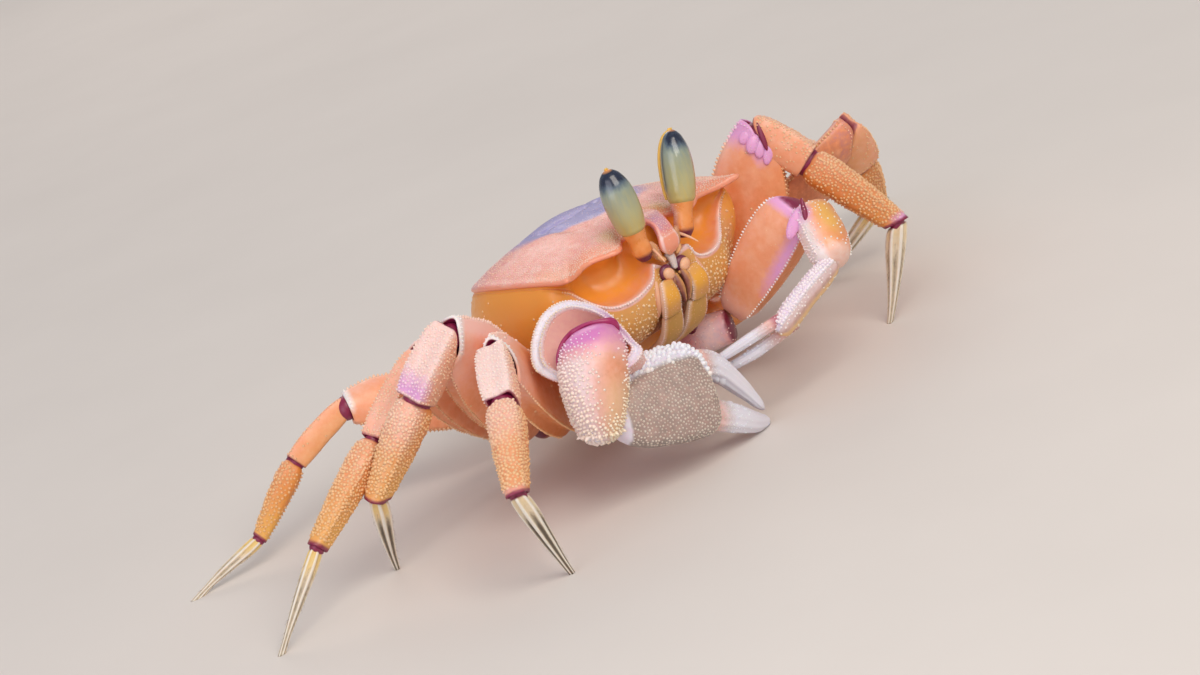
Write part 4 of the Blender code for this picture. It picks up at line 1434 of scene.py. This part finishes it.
# How the hood widens from the shoulder, as share of the length and width. Its brim has a third number: 0
# outside, up to 1 on the brim, and below 0 inside.
HOOD_FLARE = ((0, 0.26), (0.10, 0.40), (0.35, 0.60), (0.65, 0.80), (0.88, 0.95), (0.97, 1.0))
HOOD_BRIM = (
    (0.985, 1.015, 0.0), (1.0, 1.01, 0.3), (1.004, 0.985, 0.6), (0.996, 0.95, 1.0), (0.99, 0.92, 1.0),
    (0.99, 0.885, 1.0), (1.0, 0.865, 0.8), (1.01, 0.845, 0.4), (1.008, 0.82, 0.2), (0.985, 0.80, 0.0),
)
BEADED_RIMS = (45, 51)  # the rings of the hood's outer and inner rim


def build_right_arm(joints):
    """The right claw's upper arm, which opens out to a wide double-rimmed hood over the wrist."""
    shoulder, elbow = joints[:2]
    axis = unit(elbow - shoulder)
    e1 = square_to(ACROSS, axis)
    e2 = np.cross(axis, e1)
    if np.dot(e2, ABOVE) < 0:
        e2 = -e2
    rim = round_section(HOOD_RIM, FINE_COLUMNS)
    flare = [(s, k, 0.0) for s, k in through(HOOD_FLARE, np.linspace(0, 1, 44))]
    throat = [(0.985 - 0.10 * t, 0.80 - 0.42 * t, -1.0) for t in np.linspace(0.08, 1, 16)]
    profile = np.array([*flare, *HOOD_BRIM, *throat])
    rings = []
    for s, k, _ in profile:
        flat = HOOD_MIDDLE * min(s, 1) + (rim - HOOD_MIDDLE) * k
        rings.append(shoulder + (elbow - shoulder) * s + flat[:, :1] * e1 + flat[:, 1:] * e2)
    share, _, zone = profile.T[:, :, None]
    across, high = rim.T
    inner, band, outer = zone < 0, zone > 0, 0.25 * (zone == 0)
    beads = np.zeros((len(profile), len(rim)))
    beads[BEADED_RIMS, :] = high > -0.16
    skin = Skin()
    skin.grid(rings, {
        "pink": np.where(inner, 0.75 - 0.75 * rise(across, 0.0, 0.06), np.where(band, 0.85, 1.0)),
        "pale": np.where(band, 0.65 + 0.3 * rise(zone, 0.5, 0.9), outer * rise(share, 0.93, 0.98)),
        "yellow": 0.9 * (band & (zone < 0.5)) * hill(across, -0.22, 0.12),
        "deep": np.where(inner, 0.55 + 0.7 * rise(across, 0.0, 0.07), 0.9 * (1 - rise(share, 0.5, 0.95))),
        "lilac": 0.5 * band * hill(across, 0.08, 0.09),
        "wine": np.where(inner, np.maximum(0.24, rise(0.905 - share, -0.004, 0.015)), 0.0),
        "granules": np.where(band, 0.9, np.where(inner, 0.0, 0.1 + 0.7 * rise(share, 0.8, 0.95))),
        "beads": beads,
        "size": 0.85,
    })
    grow(
        skin, "right_claw_arm", "claw shell", ["right_claw_merus"], 60,
        grain=("grain", 0.48, 0.19, 0.15, "claw teeth"), bead=("knob", 0.48, 0.24, 0.20, "claw teeth"),
    )


ARM_SECTION = (
    (-1.0, -0.10), (-0.62, 0.30), (-0.22, 0.55), (0.12, 0.72), (0.36, 0.84), (0.58, 0.60),
    (0.78, 0.32), (0.92, 0.0), (0.90, -0.45), (0.45, -0.70), (-0.10, -0.65), (-0.60, -0.45),
)
ARM_SIZES = (
    (0.0, 0.055, 0.05), (0.04, 0.074, 0.07), (0.2, 0.102, 0.10), (0.45, 0.124, 0.12), (0.7, 0.130, 0.125),
    (0.88, 0.116, 0.115), (0.95, 0.098, 0.10), (0.985, 0.068, 0.07), (1.0, 0.03, 0.03),
)


def arm_paint(share, *_):
    """Amber below, a lilac toothed edge in front and lilac at the elbow."""
    turn = np.arange(COLUMNS) / COLUMNS * CORNERS
    below = rise(turn, 4.1, 4.5) * (1 - rise(turn, 7.6, 8.4))
    behind = rise(turn, 8.0, 8.6) * (1 - rise(turn, 11.2, 11.8))
    edge = 0.9 * hill(turn, 3.5, 0.8) * rise(share, 0.1, 0.6) * (1 - below)
    return {
        "deep": 0.95 * below + 0.5 * behind + 0.12,
        "lilac": np.clip(edge + 0.9 * rise(share, 0.88, 0.96), 0, 1),
        "pink": 0.55 * (1 - rise(share, 0.05, 0.25)) + 0.25 * hill(turn, 0, 1.2),
        "wine": rise(share, 0.975, 0.99),
        "granules": 0.05 + 0.12 * hill(turn, 0.2, 0.9),
        "beads": lines(share, (0, 4 * STEP, 7 * STEP), 0.06, 0.96),
        "size": 0.85,
    }


def build_left_arm(joints):
    """The left claw's upper arm: three-sided, with a toothed edge towards the front."""
    shoulder = joints[0] + ABOVE * 0.045 + ACROSS * 0.012
    elbow = joints[1] + ABOVE * 0.045 - ACROSS * 0.012
    path = (shoulder, shoulder * 0.5 + elbow * 0.5, elbow)
    skin = Skin()
    sweep(skin, path, ARM_SIZES, round_section(ARM_SECTION, COLUMNS), ACROSS, AHEAD, arm_paint, 70)
    grow(
        skin, "left_claw_arm", "limb shell", ["left_claw_merus"], 61,
        grain=("grain", 0.7, 0.16, 0.15, "limb knobs"), bead=("tooth", 0.62, 0.25, 0.36, "claw teeth"),
    )


WRIST_SECTION = (
    (1.0, 0.0), (0.86, 0.52), (0.5, 0.88), (0.0, 1.0), (-0.5, 0.90), (-0.88, 0.55),
    (-1.0, 0.0), (-0.86, -0.5), (-0.5, -0.85), (0.0, -0.95), (0.5, -0.85), (0.86, -0.5),
)
DOME_SIZES = (
    (0.0, 0.02, 0.03), (0.02, 0.064, 0.05), (0.07, 0.094, 0.084), (0.16, 0.117, 0.112),
    (0.32, 0.128, 0.130), (0.50, 0.125, 0.132), (0.70, 0.108, 0.12), (0.86, 0.088, 0.10),
    (0.93, 0.074, 0.085), (0.97, 0.054, 0.065), (1.0, 0.03, 0.03),
)
# Where the crease runs on the swollen wrist, as (share of the length, column), and how thick it is there.
CREASE = (
    (0.36, 48), (0.26, 48), (0.17, 48), (0.10, 48), (0.06, 46), (0.035, 40), (0.02, 28), (0.03, 10),
    (0.045, 3), (0.10, 0),
)
CREASE_THICK = (0.008, 0.014, 0.016, 0.020, 0.018, 0.022, 0.016, 0.026, 0.038, 0.014)
BLOCK_SIZES = (
    (0.0, 0.03, 0.03), (0.03, 0.064, 0.055), (0.12, 0.082, 0.08), (0.35, 0.086, 0.092),
    (0.65, 0.086, 0.092), (0.85, 0.076, 0.085), (0.95, 0.058, 0.065), (1.0, 0.03, 0.03),
)


def dome_paint(share, side, near):
    """Lilac above, white cones on the outer side, peach in the middle, knobs round the lower edge."""
    cones = rise(-side, -0.4, 0.5) * rise(near, -0.6, -0.1)
    lower = rise(share, 0.66, 0.8) * rise(near, -0.2, 0.2)
    edge = hill(side, 0.93, 0.12) * rise(near, -0.4, 0.0)
    knobs = 0.95 * cones * rise(share, 0.08, 0.20) + 0.9 * lower + 0.8 * edge * rise(share, 0.1, 0.2) + 0.05
    beads = np.zeros(share.shape)
    beads[int(0.90 * len(share))] = (near[0] > 0.05) & (np.abs(side[0]) < 0.93)
    middle, left = rise(side, -0.4, 0.6), hill(side, -0.97, 0.1)
    return {
        "pink": 1.0 - 0.6 * middle * rise(share, 0.2, 0.4),
        "deep": 0.9 * rise(side, -0.35, 0.5) * rise(near, 0.0, 0.4) * hill(share, 0.42, 0.30),
        "yellow": 0.9 * middle * rise(share, 0.35, 0.65) + 0.4 * cones * rise(share, 0.3, 0.5),
        "lilac": 1.25 * hill(share, 0.07, 0.19) * (0.6 + 0.4 * rise(-side, -0.6, 0.3)),
        "wine": 0.9 * rise(0.03 - share, -0.02, 0.02) + 0.6 * left * (1 - rise(share, 0.2, 0.5)),
        "pale": 0.55 * cones * rise(share, 0.2, 0.4) + 0.4 * rise(share, 0.8, 1.0),
        "granules": np.clip(knobs, 0, 1),
        "size": 0.55 + 0.19 * rise(share, 0.1, 0.3) + 0.42 * cones * rise(share, 0.2, 0.5) + 0.2 * lower,
        "beads": beads,
    }


def crease_paint(share, around):
    return {"wine": 0.7 + 0.25 * np.cos(around), "lilac": 0.7 * hill(share, 0.84, 0.10)}


def build_right_wrist(joints):
    """The right claw's swollen wrist, with a soft magenta crease up its left edge and over its top."""
    elbow, wrist = joints[1:3]
    fall = unit(wrist - elbow)
    start = elbow + AHEAD * 0.02 - fall * 0.012
    end = wrist + fall * 0.075 - ACROSS * 0.040 + AHEAD * 0.02
    path = (start - ACROSS * 0.008, (start + end) / 2 + AHEAD * 0.035 - ACROSS * 0.012, end)

    def slant(share, side, _):
        """Lowers the top's outer side."""
        return ((1 - rise(share, 0.0, 0.55)) * (0.008 * (1 - side) ** 2))[..., None] * fall

    skin = Skin()
    section = round_section(WRIST_SECTION, FINE_COLUMNS)
    rings = sweep(skin, path, DOME_SIZES, section, ACROSS, AHEAD, dome_paint, 84, slant)
    last = len(rings) - 1
    spots = [rings[int(share * last), column] - ACROSS * 0.004 + ABOVE * 0.006 for share, column in CREASE]
    tube(skin, spots, CREASE_THICK, CREASE_THICK, AHEAD, crease_paint, rows=60, columns=18)
    grow(
        skin, "right_claw_wrist", "claw shell", ["right_claw_carpus"], 62,
        grain=("tooth", 0.56, 0.28, 0.36, "claw teeth"), bead=("tooth", 0.90, 0.34, 0.80, "claw teeth"),
    )


def block_paint(share, side, near):
    """Rosy at the near edge and amber in the middle."""
    knobs = 0.42 * rise(near, -0.5, 0.1) * (1 - rise(share, 0.8, 0.95))
    return {
        "yellow": hill(side, 0.25, 0.5) * rise(near, 0, 0.4) * hill(share, 0.42, 0.32),
        "deep": 0.45 * rise(side, -0.5, 0.3),
        "pink": 0.1 + 0.8 * rise(-side, 0.2, 0.7),
        "lilac": 0.8 * rise(-side, 0.1, 0.5) * (1 - rise(share, 0.2, 0.5)),
        "pale": 0.5 * rise(share, 0.72, 0.95) + 0.9 * hill(side, -0.85, 0.25),
        "wine": 0.9 * (1 - rise(share, 0.02, 0.06)),
        "granules": knobs + 0.3 * rise(-side, 0.4, 0.8),
        "beads": lines(share, (6 * STEP, 5 * STEP, 0), 0.06, 0.9),
        "size": 0.85,
    }


def build_left_wrist(joints):
    """The left claw's wrist: a beaded block."""
    elbow, wrist = joints[1:3]
    start = elbow + AHEAD * 0.01 + ACROSS * 0.02 + ABOVE * 0.02
    end = wrist + unit(wrist - elbow) * 0.020 + ABOVE * 0.012
    path = (start, (start + end) / 2 + ABOVE * 0.006 + ACROSS * 0.010, end)
    skin = Skin()
    sweep(skin, path, BLOCK_SIZES, round_section(WRIST_SECTION, COLUMNS), ACROSS, AHEAD, block_paint, 54)
    grow(
        skin, "left_claw_wrist", "limb shell", ["left_claw_carpus"], 63,
        grain=("knob", 0.62, 0.20, 0.22, "claw teeth"), bead=("knob", 0.56, 0.26, 0.32, "claw teeth"),
    )


PALM_SECTION = (
    (1.0, 0.0), (0.94, 0.32), (0.80, 0.62), (0.42, 0.94), (0.0, 1.0), (-0.5, 0.88),
    (-0.92, 0.42), (-1.0, 0.0), (-0.92, -0.42), (-0.3, -0.95), (0.4, -0.95), (0.86, -0.55),
)


def broad_palm_paint(share, high, face):
    """Beige, with a white border at the wrist, a white knobbed crest and a white end."""
    crest = rise(high, 0.50, 0.74)
    tall = crest * rise(share, 0.10, 0.16) * rise(face, -0.75, -0.5)
    end = rise(share, 0.90, 0.94) * rise(high, 0.1, 0.4)
    return {
        "pale": np.clip(crest + 0.95 * (1 - rise(share, 0.08, 0.115)) + end, 0, 1),
        "pink": 0.25 * (1 - crest) * rise(face, 0, 0.5),
        "lilac": 0.2 * (1 - rise(share, 0.08, 0.12)) + 0.2 * crest,
        "deep": 0.3 * rise(-face, 0.2, 0.8),
        "granules": (1 - tall) * rise(share, 0.09, 0.12) * rise(face, -0.2, 0.2),
        "bristles": np.clip(tall + end, 0, 1),
        "size": 0.9 + 0.12 * crest,
    }


def small_palm_paint(share, high, face):
    """Pink above and ochre below, with a pale beaded crest."""
    crest = rise(high, 0.62, 0.86)
    return {
        "pale": 0.9 * crest + 0.4 * rise(high, -0.1, 0.4),
        "pink": 0.6 * rise(high, -0.5, 0.2),
        "yellow": 0.9 * rise(-high, -0.2, 0.3) * rise(face, -0.2, 0.3),
        "deep": 0.8 * rise(-high, 0.0, 0.5),
        "lilac": 0.3 * crest,
        "granules": 0.25 + 0.6 * rise(high, 0.2, 0.6),
        "beads": lines(share, (0, STEP, 2 * STEP), 0.05, 0.95),
        "size": 0.85 + 0.2 * crest,
    }


# The two hands. thick is how thick a finger is at its root, stain how red it is there, and teeth how many
# it has. hinge_rise is how far above the knuckle the moving finger is hinged. sizes are the palm's.
HANDS = {
    "right": dict(
        size=1.0, thick=0.062, columns=FINE_COLUMNS, paint=broad_palm_paint, hinge_rise=0.095,
        arching=0.05, teeth=9, stain=0.0, grain=("knob", 0.52, 0.21, 0.17, "palm knobs"), seeds=(64, 68),
        sizes=(
            (0.0, 0.035, 0.03), (0.02, 0.068, 0.050), (0.08, 0.105, 0.074), (0.20, 0.138, 0.086),
            (0.45, 0.168, 0.092), (0.75, 0.180, 0.092), (0.90, 0.168, 0.082), (0.96, 0.142, 0.062),
            (1.0, 0.10, 0.03),
        ),
    ),
    "left": dict(
        size=0.56, thick=0.026, columns=COLUMNS, paint=small_palm_paint, hinge_rise=0.06, arching=0.03,
        teeth=6, stain=0.7, grain=("knob", 0.55, 0.21, 0.17, "claw teeth"), seeds=(65, 69),
        sizes=(
            (0.0, 0.02, 0.02), (0.03, 0.038, 0.030), (0.12, 0.050, 0.036), (0.5, 0.058, 0.038),
            (0.85, 0.056, 0.036), (0.95, 0.046, 0.030), (1.0, 0.02, 0.015),
        ),
    ),
}


def finger(skin, path, up, thick, stain):
    """A claw's finger: a tapering bar with shallow ribs along it, pink at its root."""
    turn = 2 * np.pi * np.arange(40) / 40
    reach = 1.0 + 0.06 * np.cos(10 * turn)
    section = np.column_stack((np.cos(turn) * reach, np.sin(turn) * reach))
    sizes = (
        (0.0, thick, thick * 0.75), (0.4, thick * 0.86, thick * 0.7), (0.8, thick * 0.5, thick * 0.42),
        (0.97, thick * 0.2, thick * 0.18), (1.0, 0.004, 0.004),
    )

    def paint(share, *_):
        return {
            "pale": 0.75 * rise(share, 0.1, 0.35) + 0.2, "pink": 0.8 * (1 - rise(share, 0.1, 0.4)),
            "wine": stain * hill(share, 0.06, 0.05), "granules": 0.6 * (1 - rise(share, 0.25, 0.6)),
            "size": 0.8,
        }

    sweep(skin, path, sizes, section, up, AHEAD, paint, 46)


def cutting_edge(skin, path, towards, thick, count):
    """Blunt teeth along the inside of a finger."""
    way = unit(through(path, [0.5])[0] - through(path, [0.45])[0])
    for k, spot in enumerate(through(path, np.linspace(0.30, 0.88, count))):
        reach = thick * (0.30 - 0.018 * k) * (1.3 if k % 3 == 1 else 0.9)
        taper = 0.86 - 0.55 * (k / count)
        axes = (towards * reach, way * reach * 0.9, unit(np.cross(towards, way)) * reach * 0.8)
        skin.ball(spot + towards * thick * taper, axes, {"pale": 1.0}, rows=6, columns=10)


def build_hand(side, joints, hand):
    """A palm with its fixed finger, and the moving finger hinged on it."""
    wrist, knuckle, tip = np.array(joints[2:]) + (0, 0, HAND_LIFT if side == "right" else 0.0)
    way = unit(knuckle - wrist)
    up = square_to(CLAW_UP[side], way)
    near = np.cross(way, up)
    if np.dot(near, AHEAD) < 0:
        near = -near
    size, thick = hand["size"], hand["thick"]
    section = round_section(PALM_SECTION, hand["columns"])
    path = (wrist - way * 0.01, (wrist + knuckle) / 2 + up * 0.008, knuckle + way * 0.012)
    skin = Skin()
    sweep(skin, path, hand["sizes"], section, up, near, hand["paint"], 72)
    root = knuckle - up * 0.085 * size - way * 0.03
    bend = up * 0.02 * size
    lower = (root - way * 0.05, root + (tip - root) * 0.35 - bend, root + (tip - root) * 0.7 - bend, tip)
    finger(skin, lower, up, thick, hand["stain"])
    cutting_edge(skin, lower, up, thick, hand["teeth"])
    palm_seed, finger_seed = hand["seeds"]
    grow(
        skin, f"{side}_claw_hand", "claw shell", [f"{side}_claw_palm"], palm_seed,
        grain=hand["grain"], bead=("knob", 0.62, 0.30, 0.32, "claw teeth"),
        hair=("knob", 0.74, 0.46, 0.60, "claw teeth"),
    )
    hinge = knuckle + up * hand["hinge_rise"] * size
    reach = tip + up * 0.03 * size - hinge
    arch = up * hand["arching"] * size
    end = tip + up * 0.045 * size
    upper = (hinge - way * 0.035, hinge + reach * 0.3 + arch, hinge + reach * 0.68 + arch, end)
    mover = Skin()
    finger(mover, upper, up, thick, hand["stain"])
    cutting_edge(mover, upper, -up, thick, hand["teeth"])
    barrel = (way * 0.03 * size, up * thick * 0.9, near * thick * 0.7)
    mover.ball(hinge - way * 0.02, barrel, {"wine": 0.85})
    grow(
        mover, f"{side}_claw_finger", "claw shell", [f"{side}_claw_dactylus"], finger_seed,
        grain=("knob", 0.6, 0.17, 0.17, "claw teeth"),
    )


# Each flap: how far across and above the joint, its reach and breadth, its lean, and its lilac and wine.
ELBOW_FLAPS = (
    (-0.034, -0.040, 0.062, 0.024, 0.35, 1.0, 0.0), (0.006, 0.000, 0.060, 0.011, -0.25, 0.5, 0.9),
)
KNEE_FLAPS = (
    (-0.046, -0.018, 0.034, 0.026, 0.7, 1.0, 0.0), (-0.020, -0.046, 0.040, 0.026, 0.3, 1.0, 0.0),
    (0.006, -0.064, 0.038, 0.022, 0.0, 1.0, 0.0), (0.040, -0.072, 0.056, 0.022, 0.1, 1.0, 0.0),
    (0.016, -0.014, 0.062, 0.012, -0.35, 0.3, 1.0),
)


def build_flaps(joint, name, pieces, flaps, seed):
    """Soft flaps that lie on the shell in front of a joint."""
    skin = Skin()
    shell = [vertex.co for piece in pieces for vertex in bpy.data.objects[piece].data.vertices]
    shell = in_widths(shell) - joint
    for right, high, reach, breadth, lean, lilac, wine in flaps:
        close = np.hypot(shell @ ACROSS - right, shell @ ABOVE - high) < 0.02
        near = np.quantile((shell @ AHEAD)[close], 0.9) if close.any() else 0.03
        along = unit(ABOVE + ACROSS * lean)
        skin.ball(
            joint + ACROSS * right + ABOVE * high + AHEAD * (near - 0.006),
            (along * reach, unit(np.cross(along, AHEAD)) * breadth, AHEAD * 0.012),
            {"lilac": lilac, "wine": wine, "granules": 0.5 * lilac, "size": 0.7},
        )
    grow(skin, name, "limb shell", [], seed, grain=("grain", 0.5, 0.18, 0.14, "limb knobs"))


def claw_joints(side):
    """Shoulder, elbow, wrist, knuckle and finger tip."""
    shoulder = closest(node_points(f"{side}_claw_merus"), node_points("thorax"), 12)
    bends = [shoulder + np.array(bend) for bend in CLAW_BENDS[side]]
    palm = node_points(f"{side}_claw_palm")
    ends = palm[np.argsort(-np.linalg.norm(palm - bends[1], axis=1))[:12]]
    tip = ends.mean(axis=0) + ((-0.02, -0.01, -0.02) if side == "left" else (0, 0, 0))
    return [shoulder, *bends, tip]


right_claw, left_claw = claw_joints("right"), claw_joints("left")
build_right_arm(right_claw)
build_left_arm(left_claw)
build_right_wrist(right_claw)
build_left_wrist(left_claw)
build_hand("right", right_claw, HANDS["right"])
build_hand("left", left_claw, HANDS["left"])
build_flaps(left_claw[1], "left_claw_elbow", ("left_claw_arm", "left_claw_wrist"), ELBOW_FLAPS, 66)
left_knee = leg_joints("left", 0)[1][1]
knee_pieces = ("left_leg1_merus_shell", "left_leg1_carpus_shell")
build_flaps(left_knee, "left_leg1_knee", knee_pieces, KNEE_FLAPS, 67)

# ---------------------------------------------------------------- floor, light and camera

FLOOR_REACH = 4.0  # metres


def plain_floor():
    """A wide pale studio floor: matt painted board with a faint unevenness."""
    mesh = bpy.data.meshes.new("studio floor")
    corners = [(x * FLOOR_REACH, y * FLOOR_REACH, 0) for x, y in ((-1, -1), (1, -1), (1, 1), (-1, 1))]
    mesh.from_pydata(corners, [], [(0, 1, 2, 3)])
    floor = put("studio_floor", mesh)
    material, tree, surface = new_material("matt floor paint")
    colour = mix_colours(tree, noise(tree, 60.0), linear("#D9D3CE"), linear("#E2DCD7"))
    connect(surface, Base_Color=colour, Roughness=0.9)
    mesh.materials.append(material)


VIEW_TURN = math.radians(37.3)
VIEW_RISE = math.radians(17.8)
VIEW_ROLL = math.radians(19.5)
VIEW_DISTANCE = 12.0  # carapace widths
VIEW_RIGHT, VIEW_UP = -0.081, 0.322  # where the camera aims, in carapace widths
LENS, SENSOR = 90.6, 36.0  # millimetres
LEVEL_RIGHT = np.array((math.cos(VIEW_TURN), -math.sin(VIEW_TURN), 0.0))
LEVEL_UP = np.array(
    (
        math.sin(VIEW_TURN) * math.sin(VIEW_RISE),
        math.cos(VIEW_TURN) * math.sin(VIEW_RISE),
        math.cos(VIEW_RISE),
    )
)
TOWARDS = np.cross(LEVEL_RIGHT, LEVEL_UP)


def add_camera():
    camera = put("camera", bpy.data.cameras.new("camera"))
    camera.data.lens = LENS
    camera.data.sensor_width = SENSOR
    camera.data.clip_start = 0.01
    right = LEVEL_RIGHT * math.cos(VIEW_ROLL) - LEVEL_UP * math.sin(VIEW_ROLL)
    up = LEVEL_RIGHT * math.sin(VIEW_ROLL) + LEVEL_UP * math.cos(VIEW_ROLL)
    aim = VIEW_RIGHT * LEVEL_RIGHT + VIEW_UP * LEVEL_UP + VIEW_DISTANCE * TOWARDS
    spot = to_world(aim + (0, 0, FLOOR))
    turned = Matrix((right, up, TOWARDS)).transposed().to_4x4()
    camera.matrix_world = Matrix.Translation(Vector(spot)) @ turned
    bpy.context.scene.camera = camera


def add_light(name, direction, distance, size, watts, colour):
    """A square lamp that looks at the crab's middle from so many metres away."""
    lamp = bpy.data.lights.new(name, "AREA")
    lamp.energy = watts
    lamp.size = size
    lamp.color = linear(colour)[:3]
    light = put(name, lamp)
    place = Vector(unit(direction)) * distance
    light.location = place + Vector((0, 0, 0.03))
    light.rotation_euler = place.to_track_quat("Z", "Y").to_euler()


def studio():
    add_light("key light", (-0.15, -0.95, 0.95), 0.9, 0.6, 5.1, "#FFF6EA")
    add_light("side fill", (-1.0, -0.30, 0.35), 0.9, 0.7, 2.7, "#F6F4FF")
    add_light("back light", (0.6, 0.9, 0.7), 0.9, 0.5, 1.6, "#FFF2E6")
    world = bpy.data.worlds.new("studio air")
    world.use_nodes = True
    connect(world.node_tree.nodes["Background"], Color=linear("#EDF0F6"), Strength=0.44)
    bpy.context.scene.world = world
    bpy.context.scene.view_settings.view_transform = "Standard"


plain_floor()
studio()
add_camera()
for shape in PATTERNS.values():
    bpy.data.objects.remove(shape)
